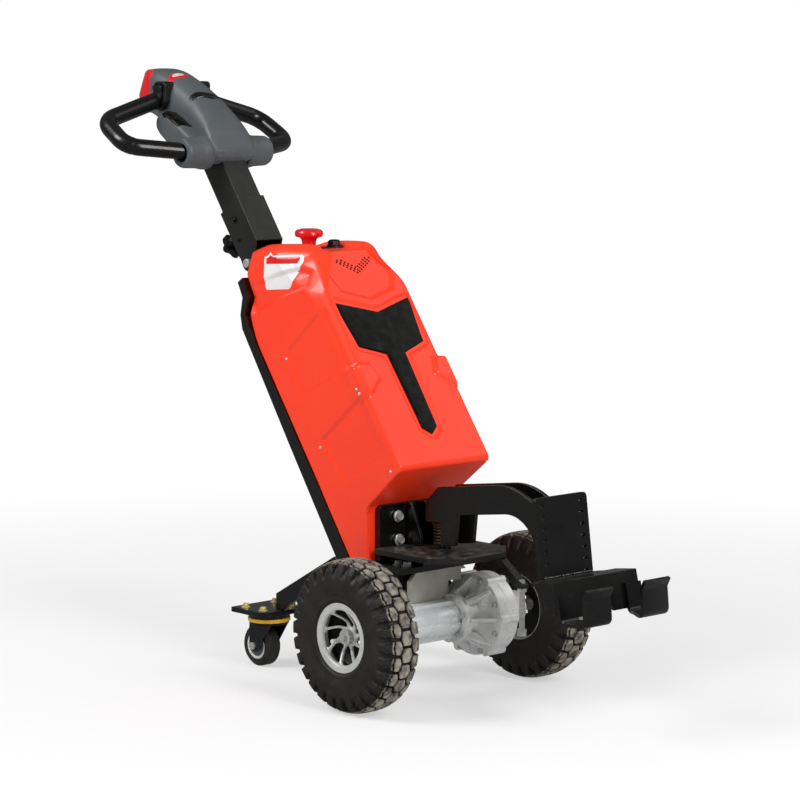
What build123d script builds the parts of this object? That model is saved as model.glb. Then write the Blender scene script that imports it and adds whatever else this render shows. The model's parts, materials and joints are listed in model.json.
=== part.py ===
from build123d import *
from math import cos, radians, sin, tan
import os

# Walk-behind electric tug, in millimetres. +X points to the towing hooks, +Y to
# the machine's left and +Z up. The sizes below are measured from the drive
# axle's line; the finished pieces are then set with the middle of the whole
# machine above the origin and its wheels on z = 0.
os.makedirs("parts", exist_ok=True)

# Angles of the leaning body and of the raised tow arm
body_lean = 35
arm_pitch = 7.5
strut_slope = 29

# Shared clearances and roundings
overrun = 4
seat_gap = 0.3
running_gap = 0.06
moving_gap = 6
plate_round = 3

# Drive wheels
tyre_dia = 260
tyre_w = 78
tread_w = 60
tread_round = 7
tread_depth = 6
tread_row_y = 11
lug_count = 18
lug_gap = 8
sidewall_bulge_r = 97
sidewall_round = 8
bead_inset = 5
wheel_track = 411
rim_dia = 121.2
rim_lip = 5
rim_lip_w = 7
rim_web_t = 6
rim_web_recess = 22
hub_dia = 46
hub_reach = 30
petal_count = 8
petal_inner_r = 25
petal_outer_r = 50
petal_share = 0.82
petal_round = 6
drive_shaft_dia = 20
drive_shaft_in = 42
axle_nut_dia = 26
axle_nut_t = 9
axle_nut_stand = 5

# Transaxle, left of the middle
gear_flange_y = 20
gear_flange_r = 40
gear_flange_t = 9
gear_neck_r = 33
gear_neck_end = 50
gear_bell_end = 60
gear_bell_r = 63.5
gear_bell_lip = 4.5
gear_drum_r = 71
gear_drum_end = 106
gear_split_t = 4
gear_split_depth = 1.5
gear_back_r = 52
gear_back_end = 120
gear_rib_count = 6
gear_rib_t = 5
gear_lug_count = 6
gear_lug_dia = 17
gear_lug_inset = 2
axle_tube_r = 29
axle_fin_w = 22
axle_fin_out = 4
axle_groove_w = 6
axle_groove_depth = 3
axle_tube_gap = 7
motor_dia = 118
motor_len = 116
motor_gap = 3
motor_y = 52
motor_rib_count = 5
motor_rib_w = 8
motor_rib_depth = 2
motor_boss_dia = 60

# Deck, mounting plate and lower frame
deck_top = 253
deck_t = 10
deck_front = 99
deck_front_half = 48
deck_half = 92
base_top = 225
base_t = 10
base_half = 84
riser_back = -66
riser_half = 40
mount_plate_t = 8
mount_plate_x = -20
mount_plate_half = 70
mount_plate_low = 144
mount_plate_corner = 14
bracket_x = -90
bracket_t = 12
bracket_half = 80
bracket_top = 326
bracket_corner = 8
bracket_rim = 9
bracket_rim_depth = 3
rib_t = 6
rib_half_gap = 14
rib_front = -40
rib_toe = 20
rib_top_w = 12
brace_y = 44
brace_w = 16
brace_t = 6
brace_back = 70
brace_foot_x = 150
brace_foot_z = 198
hanger_x = 142
hanger_dia = 10
hanger_low = 128
hanger_nut_dia = 17
hanger_nut_t = 12

# Red housing: outline as shares of the body's depth and height
body_depth = 214
body_height = 505
body_back_n = 18
body_foot_s = 324.5
body_front_half = 106
body_back_half = 95
underside_round = 26
top_front_round = 24
shoulder_round = 22
lower_chamfer_len = 27
lower_chamfer_d = 5
housing_outline_share = [
    ("foot back", 0.0, -0.18),
    ("neck below", 0.0, 0.80),
    ("neck knee", 0.016, 0.851),
    ("neck", 0.145, 0.895),
    ("shoulder back", 0.174, 0.978),
    ("top back", 0.363, 1.026),
    ("top middle", 0.544, 1.001),
    ("top front", 1.0, 0.88),
    ("foot front", 1.0, 0.0),
    ("underside back", 0.42, -0.018),
    ("lower front", 0.18, -0.24),
]

# Upper front corners: share of the height, length along the flank and depth
shoulder_cut = [
    ("above strap", 0.409, 31, 14),
    ("shoulder low", 0.70, 31, 14),
    ("shoulder high", 0.862, 71, 39),
    ("top", 1.04, 71, 39),
]

# Shallow panels on both flanks, as shares of the body's depth and height
panel_depth = 3.2
panel_taper = 50
flank_panel_share = [
    [("low back", 0.308, 0.114), ("low front", 0.85, 0.082), ("high front", 0.85, 0.304),
     ("high back", 0.248, 0.290)],
    [("low back", 0.248, 0.458), ("low front", 0.85, 0.415), ("high front", 0.85, 0.649),
     ("high back", 0.318, 0.631)],
]
facet_depth = 5.5
flank_facet_share = [
    ("back low", 0.10, 0.832),
    ("bottom", 0.463, 0.797),
    ("front low", 0.841, 0.748),
    ("front", 0.88, 0.795),
    ("front high", 0.70, 0.86),
    ("top", 0.25, 0.905),
    ("back", 0.12, 0.88),
]

# Black frame band behind the housing, as shares of the same depth and height
band_half = 97
band_outline_share = [
    ("foot", -0.134, -0.16),
    ("low", -0.134, -0.072),
    ("mid", -0.112, 0.376),
    ("knee", -0.080, 0.817),
    ("bump", -0.033, 0.863),
    ("neck", 0.076, 0.908),
    ("crown", 0.096, 0.965),
]

# Black inlay on the front face, as shares of half its width and its height
inlay_half = 86
inlay_rise = 59.5
inlay_height = 270
inlay_t = 3
inlay_proud = 0.8
inlay_share = [
    ("foot", 0.0, 0.0),
    ("stem low", 0.21, 0.04),
    ("crotch", 0.244, 0.593),
    ("wing", 0.872, 0.668),
    ("tip", 1.0, 1.0),
    ("notch", 0.0, 0.902),
]

# Vent panel, straps and battery of the housing
vent_half = 69
vent_share = [
    ("tip", 0.0, 0.648),
    ("corner", 0.92, 0.686),
    ("side", 1.0, 0.756),
    ("top", 0.94, 0.825),
]
vent_depth = 4
vent_taper = 60
strap_out = 7
strap_taper = 30
strap_share = [
    ("top outer", 0.95, 0.409),
    ("top inner", 0.70, 0.405),
    ("nose", 0.575, 0.340),
    ("low inner", 0.915, 0.282),
    ("low outer", 0.95, 0.282),
]
battery_depth = 120
battery_height = 210
battery_half = 76
battery_n = 62
battery_s = 400

# Top of the housing and what stands on it
valley_half = 58
valley_depth = 14.9
valley_back_in = 12.9
estop_in = 40
estop_cap_dia = 43
estop_cap_t = 12
estop_stem_dia = 25
estop_stem_h = 22
socket_in = 62
socket_y = 40
socket_dia = 20
socket_h = 14

# Folding tiller
tiller_n = 28
stub_n = 4
stub_depth = 50
stub_half = 29
stub_seat_share = 0.93
stub_rise = 14.5
tongue_n = 6
tongue_depth = 42
tongue_gap = 4
tongue_rise = 46.5
tongue_round = 10
fold_n = 13
fold_rise = 34.5
fold_pin_dia = 10
fold_head_dia = 16
fold_head_t = 5
sleeve_play = 0.5
sleeve_wall = 3
sleeve_rise = 54.5
sleeve_len = 94
cheek_round = 15
tube_size = 55
tube_wall = 3
tube_in = 58
tube_out = 118
knob_up = 46
knob_stem_dia = 10
knob_yoke = 22
knob_yoke_len = 14
knob_dia = 40
knob_t = 15
knob_gap = 5
knob_lobes = 5
knob_lobe_dia = 13

# Control head: side outline as shares of its length and height
head_behind = 229.3
head_ahead = 49.7
head_below = 23.9
head_above = 147.1
head_half = 42
head_share = [
    ("front low", 1.0, 0.088),
    ("front", 1.0, 0.205),
    ("slope", 0.842, 0.444),
    ("rise", 0.699, 0.632),
    ("brow", 0.556, 0.789),
    ("crown front", 0.412, 0.912),
    ("crown", 0.251, 1.0),
    ("crown back", 0.115, 0.994),
    ("belly back", 0.161, 0.556),
    ("belly", 0.337, 0.433),
    ("heel", 0.358, 0.327),
    ("chin back", 0.484, 0.187),
    ("chin", 0.699, 0.029),
    ("throat", 0.842, 0.0),
]
button_share = [
    ("top", 0.115, 0.994),
    ("nose", 0.0, 0.719),
    ("toe", 0.065, 0.544),
    ("heel", 0.161, 0.556),
]
button_half = 38
wing_half = 72
wing_share = [
    ("front low", 0.93, 0.05),
    ("front", 0.975, 0.205),
    ("top front", 0.842, 0.38),
    ("top middle", 0.70, 0.555),
    ("top back", 0.52, 0.713),
    ("back", 0.383, 0.66),
    ("heel", 0.358, 0.42),
    ("sole", 0.52, 0.225),
    ("sole front", 0.70, 0.07),
]
wing_round = 7
collar_ahead = 15.7
collar_below = 1.9
collar_dia = 48
collar_inner = 46
collar_outer = 96
side_panel_t = 2
side_panel_share = [
    ("front low", 0.80, 0.20),
    ("front top", 0.76, 0.40),
    ("back top", 0.53, 0.64),
    ("back", 0.46, 0.60),
    ("back low", 0.57, 0.40),
]
thumb_behind = 98.3
thumb_above = 110.1
thumb_dia = 46
thumb_inner = 46
thumb_w = 24
thumb_gap = 1.5
handle_dia = 28
handle_bend_r = 32
handle_route = [
    ("collar", 14.7, 90, 1.1),
    ("front corner", -28.3, 188, 12.1),
    ("back corner", -99.3, 180, 53.1),
    ("head", -106.3, 66, 94.1),
]

# Rear swivel wheels
caster_x = -372
caster_y = 80
carrier_len = 92
carrier_w = 100
carrier_t = 9
carrier_low = 100
carrier_corner = 16
strut_t = 10
strut_h = 26
strut_y = 86
strut_foot_x = -340
race_dia = 74
race_t = 8
ring_dia = 76
ring_t = 7
fork_top_dia = 70
fork_top_t = 4.4
fork_leg_t = 3
fork_gap = 37
fork_leg_top = 30
fork_leg_toe = 10
fork_toe_r = 8
kingpin_dia = 12
caster_trail = 20
caster_wheel_dia = 75
caster_wheel_w = 32
caster_wheel_round = 6
caster_hub_dia = 50
caster_hub_w = 26
caster_pin_dia = 8
caster_pin_head_dia = 14
caster_pin_head_t = 4

# Tow arm, in its own raised frame: u runs forward, v up from the deck
post_dia = 20
post_top = 347
post_cap_dia = 28
post_cap_t = 6
pivot_dia = 36
pivot_neck_dia = 27
pivot_foot = 262
pivot_step = 298
pivot_top = 345
spring_in_r = 15.5
spring_out_r = 20.5
spring_turns = 7
cheek_t = 8
arm_half = 25
arm_top_v = 106.8
arm_low_v = 58
arm_heel_u = -17
arm_heel_v = 48
arm_back_u = -13
arm_back_v = 81
arm_shoulder_u = 23
leg_back_top = 21
leg_back_low = 15
leg_front_top = 64
leg_front_low = 51
leg_foot_v = 8
arm_bend_u = 160
arm_bend_r = 130
arm_bend_turn = 32
arm_under_u = 177
arm_foot_len = 28.5
arm_edge_r = 2
hitch_u = 279.5
hitch_t = 8
hitch_half = 60
hitch_top_v = 86
hitch_corner = 8
hitch_hole_dia = 8.5
hitch_hole_pitch = 19
hitch_hole_rows = 7
hitch_hole_y = 45
hitch_hole_top = 73
bar_top_v = -46
bar_t = 6
bar_ear_u = 301
bar_front_u = 348
bar_toe_u = 355
bar_low_v = -107
bar_half = 99
bar_neck_half = 60
bar_arch_half = 34
bar_arch_h = 26
gusset_low_u = 330
gusset_low_v = -79
hook_inner_back = 62
hook_inner_front = 37
hook_outer = 98
hook_t = 7
hook_front_u = 415
hook_low_v = -121
hook_high_v = -75
hook_lip_u = 424
hook_lip_v = -59
hook_round = 6

# Derived levels, lines and frames
axle_z = tyre_dia / 2
wheel_y = wheel_track / 2
tyre_half = tyre_w / 2
bead_half = tyre_half - bead_inset
tube_end = wheel_y - hub_reach - axle_tube_gap
shaft_bore_r = drive_shaft_dia / 2 + running_gap
deck_low = deck_top - deck_t
base_low = base_top - base_t
bracket_front = bracket_x + bracket_t
body_front_n = body_back_n + body_depth
body_top_s = body_foot_s + body_height
body_reach = 2 * body_top_s
stub_base_top = body_top_s + stub_rise
tongue_top = body_top_s + tongue_rise
sleeve_size = tube_size + 2 * (sleeve_play + sleeve_wall)
tongue_half = tube_size / 2 + sleeve_play - tongue_gap
fold_s = body_top_s + fold_rise
sleeve_low = body_top_s + sleeve_rise
sleeve_high = sleeve_low + sleeve_len
knob_s = sleeve_low + knob_up
tube_low = sleeve_high - tube_in
tube_high = sleeve_high + tube_out
arm_under_foot = hitch_u - arm_foot_len
lean_cos = cos(radians(body_lean))
lean_sin = sin(radians(body_lean))
pitch_cos = cos(radians(arm_pitch))
pitch_sin = sin(radians(arm_pitch))
side_plane = Plane(origin=(0, 0, 0), x_dir=(1, 0, 0), z_dir=(0, -1, 0))
body_plane = Plane(origin=(0, 0, 0), x_dir=(lean_cos, 0, lean_sin), z_dir=(0, -1, 0))
arm_plane = Plane(origin=(0, 0, deck_top), x_dir=(pitch_cos, 0, pitch_sin), z_dir=(0, -1, 0))
sides = [("right", -1), ("left", 1)]
pieces = []


def keep(part, name):
    """Name a finished piece and set it aside."""
    part.label = name
    pieces.append(part)


def on_body(n, y, s):
    """A point of the leaning body from its forward depth, side place and height."""
    return (n * lean_cos - s * lean_sin, y, n * lean_sin + s * lean_cos)


def lean_x(n, z):
    """Where the leaning line at depth n crosses the level z."""
    return (n - z * lean_sin) / lean_cos


def body_section(n, s):
    """A plane square to the body's length, x to its front and y to the left."""
    return Plane(origin=on_body(n, 0, s), x_dir=(lean_cos, 0, lean_sin),
                 z_dir=(-lean_sin, 0, lean_cos))


def body_face(n, s=0):
    """A plane along the body's front, x to the left and y up the body."""
    return Plane(origin=on_body(n, 0, s), x_dir=(0, 1, 0), z_dir=(lean_cos, 0, lean_sin))


def on_arm(u, v):
    """A point on the raised tow arm's middle plane."""
    return (u * pitch_cos - v * pitch_sin, 0, deck_top + u * pitch_sin + v * pitch_cos)


def arm_face(u, v=0):
    """A plane across the tow arm, x to the left and y up the arm's own upright."""
    return Plane(origin=on_arm(u, v), x_dir=(0, 1, 0), z_dir=(pitch_cos, 0, pitch_sin))


def arm_level(u, v):
    """A plane along the tow arm, x to its front and y to the left."""
    return Plane(origin=on_arm(u, v), x_dir=(pitch_cos, 0, pitch_sin),
                 z_dir=(-pitch_sin, 0, pitch_cos))


def wheel_plane(x, y, z, side):
    """A half section through a wheel: x runs outboard, y is the radius."""
    return Plane(origin=(x, y, z), x_dir=(0, side, 0), z_dir=(side, 0, 0))


def across(x, y, z, side=-1):
    """A plane square to a crosswise axle, facing the right (-1) or the left (1)."""
    return Plane(origin=(x, y, z), x_dir=(-side, 0, 0), z_dir=(0, side, 0))


def body_points(table):
    """Outline points of the leaning body from a table of shares."""
    return [(body_back_n + body_depth * a, body_foot_s + body_height * b) for _, a, b in table]


def head_points(table):
    """Outline points of the control head from a table of shares."""
    head_len = head_front - head_back
    head_rise = head_high - head_low
    return [(head_back + head_len * a, head_low + head_rise * b) for _, a, b in table]


def turned(points, side):
    """The same outline, its order reversed on the side where mirroring turned it clockwise."""
    return points if side > 0 else points[::-1]


# The control head is placed from the upper end of the tiller's tube
tube_end_x, _, tube_end_z = on_body(tiller_n, 0, tube_high)
head_back = tube_end_x - head_behind
head_front = tube_end_x + head_ahead
head_low = tube_end_z - head_below
head_high = tube_end_z + head_above
collar_x = tube_end_x + collar_ahead
collar_z = tube_end_z - collar_below
thumb_x = tube_end_x - thumb_behind
thumb_z = tube_end_z + thumb_above

# Drive wheels: tyre, spoked rim and the shaft with its nut
lug_turn = 180 / lug_count
tread_rows = [
    (tyre_half + overrun, tyre_half + overrun - tread_row_y, 0),
    (tread_row_y, 2 * tread_row_y, 1),
    (-tread_row_y, tyre_half + overrun - tread_row_y, 0),
]
for name, side in sides:
    centre_y = side * wheel_y
    axle_line = Axis((0, centre_y, axle_z), (0, 1, 0))
    section = wheel_plane(0, centre_y, axle_z, side)
    with BuildPart() as tyre:
        with BuildSketch(section):
            Polygon(
                (-bead_half, rim_dia / 2),
                (-tyre_half, sidewall_bulge_r),
                (-tread_w / 2, tyre_dia / 2),
                (tread_w / 2, tyre_dia / 2),
                (tyre_half, sidewall_bulge_r),
                (bead_half, rim_dia / 2),
                align=None,
            )
            crown = vertices().filter_by(
                lambda v: v.Y > sidewall_bulge_r + overrun and abs(v.X) > (tread_w - tread_round) / 2
            )
            chamfer(crown, length=tread_round)
            bulge = vertices().filter_by(lambda v: abs(v.Y - sidewall_bulge_r) < overrun)
            chamfer(bulge, length=sidewall_round)
        revolve(axis=axle_line)
        # Cross grooves part both shoulders and the middle rib into blocks
        for edge_y, block_w, turn in tread_rows:
            with BuildSketch(across(0, centre_y + side * edge_y, axle_z, side)):
                with PolarLocations(tyre_dia / 2, lug_count, start_angle=turn * lug_turn):
                    Rectangle(2 * tread_depth, lug_gap)
            extrude(amount=-block_w, mode=Mode.SUBTRACT)
    keep(tyre.part, f"wheel_tyre_{name}")

    rim_r = rim_dia / 2
    barrel_r = rim_r - rim_lip
    web_out = bead_half - rim_web_recess
    hub_face = web_out + rim_web_t / 2
    petal_len = petal_outer_r - petal_inner_r
    petal_chord = 2 * sin(radians(180 / petal_count)) * petal_share
    with BuildPart() as rim:
        with BuildSketch(section):
            Polygon(
                (-bead_half, rim_r),
                (-bead_half, barrel_r),
                (web_out - rim_web_t, barrel_r),
                (web_out - rim_web_t, hub_dia / 2),
                (-hub_reach, hub_dia / 2),
                (-hub_reach, drive_shaft_dia / 2),
                (hub_face, drive_shaft_dia / 2),
                (hub_face, hub_dia / 2),
                (web_out, hub_dia / 2),
                (web_out, barrel_r),
                (bead_half - rim_lip_w, barrel_r),
                (bead_half, rim_r - rim_lip_w / 2),
                (bead_half, rim_r),
                align=None,
            )
        revolve(axis=axle_line)
        with BuildSketch(across(0, centre_y + side * (web_out + overrun), axle_z, side)):
            with PolarLocations((petal_inner_r + petal_outer_r) / 2, petal_count):
                Polygon(
                    (-petal_len / 2, -petal_inner_r * petal_chord / 2),
                    (petal_len / 2, -petal_outer_r * petal_chord / 2),
                    (petal_len / 2, petal_outer_r * petal_chord / 2),
                    (-petal_len / 2, petal_inner_r * petal_chord / 2),
                    align=None,
                )
            fillet(vertices(), radius=petal_round)
        extrude(amount=-(rim_web_t + 2 * overrun), mode=Mode.SUBTRACT)
    keep(rim.part, f"wheel_rim_{name}")

    with BuildPart() as shaft:
        with BuildSketch(section):
            Polygon(
                (-hub_reach - drive_shaft_in, 0),
                (-hub_reach - drive_shaft_in, drive_shaft_dia / 2),
                (hub_face, drive_shaft_dia / 2),
                (hub_face, axle_nut_dia / 2),
                (hub_face + axle_nut_t, axle_nut_dia / 2),
                (hub_face + axle_nut_t, drive_shaft_dia / 4),
                (hub_face + axle_nut_t + axle_nut_stand, drive_shaft_dia / 4),
                (hub_face + axle_nut_t + axle_nut_stand, 0),
                align=None,
            )
        revolve(axis=axle_line)
    keep(shaft.part, f"wheel_shaft_{name}")

# Cast transaxle housing with its split line, radial ribs and bolt lugs
axle_line = Axis((0, 0, axle_z), (0, 1, 0))
gear_split_y = (gear_bell_end + gear_drum_end) / 2
gear_out_r = gear_drum_r - gear_lug_inset + gear_lug_dia / 2
motor_face_x = -(gear_out_r + motor_gap)
with BuildPart() as gearbox:
    with BuildSketch(wheel_plane(0, 0, axle_z, 1)):
        Polygon(
            (gear_flange_y, shaft_bore_r),
            (gear_flange_y, gear_flange_r),
            (gear_flange_y + gear_flange_t, gear_flange_r),
            (gear_flange_y + gear_flange_t, gear_neck_r),
            (gear_neck_end, gear_neck_r),
            (gear_bell_end, gear_bell_r),
            (gear_bell_end + gear_bell_lip, gear_drum_r),
            (gear_split_y - gear_split_t / 2, gear_drum_r),
            (gear_split_y, gear_drum_r - gear_split_depth),
            (gear_split_y + gear_split_t / 2, gear_drum_r),
            (gear_drum_end, gear_drum_r),
            (gear_back_end, gear_back_r),
            (gear_back_end, axle_tube_r),
            (tube_end, axle_tube_r),
            (tube_end, shaft_bore_r),
            align=None,
        )
    revolve(axis=axle_line)
    for turn in range(gear_rib_count):
        rib_angle = radians((turn + 0.5) * 360 / gear_rib_count)
        rib_plane = Plane(origin=(0, 0, axle_z), x_dir=(0, 1, 0),
                          z_dir=(cos(rib_angle), 0, -sin(rib_angle)))
        with BuildSketch(rib_plane):
            Polygon(
                (gear_flange_y + gear_flange_t / 2, gear_neck_r - gear_split_depth),
                (gear_flange_y + gear_flange_t / 2, gear_flange_r - gear_split_depth),
                (gear_bell_end + gear_split_depth, gear_bell_r),
                (gear_bell_end + gear_split_depth, gear_neck_r - gear_split_depth),
                align=None,
            )
        extrude(amount=gear_rib_t / 2, both=True)
    with BuildSketch(across(0, gear_bell_end + gear_split_depth, axle_z, 1)):
        with PolarLocations(gear_drum_r - gear_lug_inset, gear_lug_count):
            Circle(gear_lug_dia / 2)
    extrude(amount=gear_drum_end - gear_bell_end - 2 * gear_split_depth)
    with BuildSketch(Plane.YZ.offset(motor_face_x + seat_gap)):
        with Locations((motor_y, axle_z)):
            Circle(motor_boss_dia / 2)
    extrude(amount=-motor_face_x - shaft_bore_r)
    with BuildSketch(across(0, 0, axle_z, 1)):
        Circle(shaft_bore_r)
    extrude(amount=wheel_y, mode=Mode.SUBTRACT)
keep(gearbox.part, "gearbox_housing")

# Finned axle tube to the right wheel
with BuildPart() as axle_tube:
    with BuildSketch(across(0, gear_flange_y, axle_z)):
        Circle(axle_tube_r)
        with PolarLocations(axle_tube_r, 2, start_angle=90):
            Rectangle(2 * axle_fin_out, axle_fin_w)
        with PolarLocations(axle_tube_r, 2):
            Rectangle(2 * axle_groove_depth, axle_groove_w, mode=Mode.SUBTRACT)
        Circle(shaft_bore_r, mode=Mode.SUBTRACT)
    extrude(amount=gear_flange_y + tube_end)
keep(axle_tube.part, "axle_tube")

# Drive motor on the gearbox's boss, with cooling grooves along it
with BuildPart() as motor:
    with BuildSketch(Plane.YZ.offset(motor_face_x)):
        with Locations((motor_y, axle_z)):
            Circle(motor_dia / 2)
            with PolarLocations(motor_dia / 2, motor_rib_count, start_angle=90):
                Rectangle(2 * motor_rib_depth, motor_rib_w, mode=Mode.SUBTRACT)
    extrude(amount=-motor_len)
keep(motor.part, "drive_motor")

# Round post the tow arm turns on, its cap above the arm's sleeve
with BuildPart() as post:
    with BuildSketch(Plane.XY.offset(deck_top)):
        Circle(post_dia / 2)
    extrude(amount=post_top - deck_top)
    with BuildSketch(Plane.XY.offset(post_top)):
        Circle(post_cap_dia / 2)
    extrude(amount=post_cap_t)
    chamfer(faces().sort_by(Axis.Z)[-1].edges(), length=post_cap_t / 4)
keep(post.part, "pivot_post")

# Deck plate with cut front corners
deck_slant = deck_half - deck_front_half
with BuildPart() as deck:
    with BuildSketch(Plane.XY.offset(deck_low)):
        Polygon(
            (bracket_front, -deck_half),
            (deck_front - deck_slant, -deck_half),
            (deck_front, -deck_front_half),
            (deck_front, deck_front_half),
            (deck_front - deck_slant, deck_half),
            (bracket_front, deck_half),
            align=None,
        )
    extrude(amount=deck_t)
    front_edges = edges().filter_by(Axis.Z).filter_by(lambda e: e.center().X > 0)
    fillet(front_edges, radius=plate_round)
keep(deck.part, "deck_plate")

# Base plate with the riser under the deck
with BuildPart() as base:
    with BuildSketch(side_plane):
        Polygon(
            (mount_plate_x + mount_plate_t, base_low),
            (mount_plate_x + mount_plate_t, base_top),
            (lean_x(body_back_n + seat_gap, base_top), base_top),
            (lean_x(body_back_n + seat_gap, base_low), base_low),
            align=None,
        )
    extrude(amount=base_half, both=True)
    with BuildSketch(Plane.XY.offset(base_top)):
        Polygon(
            (riser_back, -riser_half),
            (mount_plate_x + mount_plate_t, -riser_half),
            (mount_plate_x + mount_plate_t, riser_half),
            (riser_back, riser_half),
            align=None,
        )
    extrude(amount=deck_low - base_top)
keep(base.part, "base_plate")

# Upright mounting plate, seated on the axle tube and clear of the gearbox
with BuildPart() as mount_plate:
    with BuildSketch(Plane.YZ.offset(mount_plate_x)):
        Polygon(
            (-mount_plate_half, mount_plate_low),
            (mount_plate_half, mount_plate_low),
            (mount_plate_half, base_low - mount_plate_corner),
            (mount_plate_half - mount_plate_corner, base_low),
            (mount_plate_corner - mount_plate_half, base_low),
            (-mount_plate_half, base_low - mount_plate_corner),
            align=None,
        )
    extrude(amount=mount_plate_t)
    saddle_cuts = [
        ("tube", -mount_plate_half - overrun, gear_flange_y, axle_tube_r + seat_gap),
        ("neck", gear_flange_y - seat_gap, gear_neck_end, gear_bell_r + seat_gap),
        ("drum", gear_neck_end - seat_gap, gear_back_end, gear_out_r + motor_gap),
    ]
    for _, low_y, high_y, clear_r in saddle_cuts:
        with BuildSketch(across(0, low_y, axle_z, 1)):
            Circle(clear_r)
        extrude(amount=high_y - low_y, mode=Mode.SUBTRACT)
keep(mount_plate.part, "mount_plate")

# Embossed bracket that holds the body, with two upright ribs on the deck
bracket_mid = (base_top + bracket_top) / 2
bracket_h = bracket_top - base_top
with BuildPart() as bracket:
    with BuildSketch(Plane.YZ.offset(bracket_x)):
        with Locations((0, bracket_mid)):
            Rectangle(2 * bracket_half, bracket_h)
        fillet(vertices(), radius=bracket_corner)
    extrude(amount=bracket_t)
    with BuildSketch(Plane.YZ.offset(bracket_front)):
        with Locations((0, bracket_mid)):
            Rectangle(2 * (bracket_half - bracket_rim), bracket_h - 2 * bracket_rim)
        fillet(vertices(), radius=bracket_corner)
    extrude(amount=-bracket_rim_depth, mode=Mode.SUBTRACT)
    for _, side in sides:
        with BuildSketch(side_plane.offset(-side * rib_half_gap)):
            Polygon(
                (bracket_front - bracket_rim_depth, deck_top),
                (rib_front, deck_top),
                (rib_front, deck_top + rib_toe),
                (bracket_front + rib_top_w, bracket_top),
                (bracket_front - bracket_rim_depth, bracket_top),
                align=None,
            )
        extrude(amount=-side * rib_t)
keep(bracket.part, "body_bracket")

# Strap under the deck and the hanging bolt in it, on the left only
with BuildPart() as brace:
    with BuildSketch(side_plane.offset(-brace_y - brace_w / 2)):
        Polygon(
            (brace_back, deck_low),
            (deck_front - plate_round, deck_low),
            (brace_foot_x, brace_foot_z + brace_t),
            (brace_foot_x, brace_foot_z),
            (brace_foot_x - 2 * hanger_dia, brace_foot_z),
            (deck_front - 2 * brace_t, deck_low - brace_t),
            (brace_back, deck_low - brace_t),
            align=None,
        )
    extrude(amount=brace_w)
    with BuildSketch(Plane.XY.offset(brace_foot_z - overrun)):
        with Locations((hanger_x, brace_y)):
            Circle(hanger_dia / 2 + seat_gap)
    extrude(amount=deck_low - brace_foot_z, mode=Mode.SUBTRACT)
keep(brace.part, "deck_brace")

with BuildPart() as hanger:
    with BuildSketch(Plane.XY.offset(hanger_low - hanger_nut_t)):
        with Locations((hanger_x, brace_y)):
            RegularPolygon(hanger_nut_dia / 2, 6)
    extrude(amount=hanger_nut_t)
    with BuildSketch(Plane.XY.offset(hanger_low - overrun)):
        with Locations((hanger_x, brace_y)):
            Circle(hanger_dia / 2)
    extrude(amount=brace_foot_z + brace_t - hanger_low + 3 * overrun)
    with BuildSketch(Plane.XY.offset(brace_foot_z - brace_t - seat_gap)):
        with Locations((hanger_x, brace_y)):
            RegularPolygon(hanger_nut_dia / 2, 6)
    extrude(amount=brace_t)
keep(hanger.part, "hanging_bolt")

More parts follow.
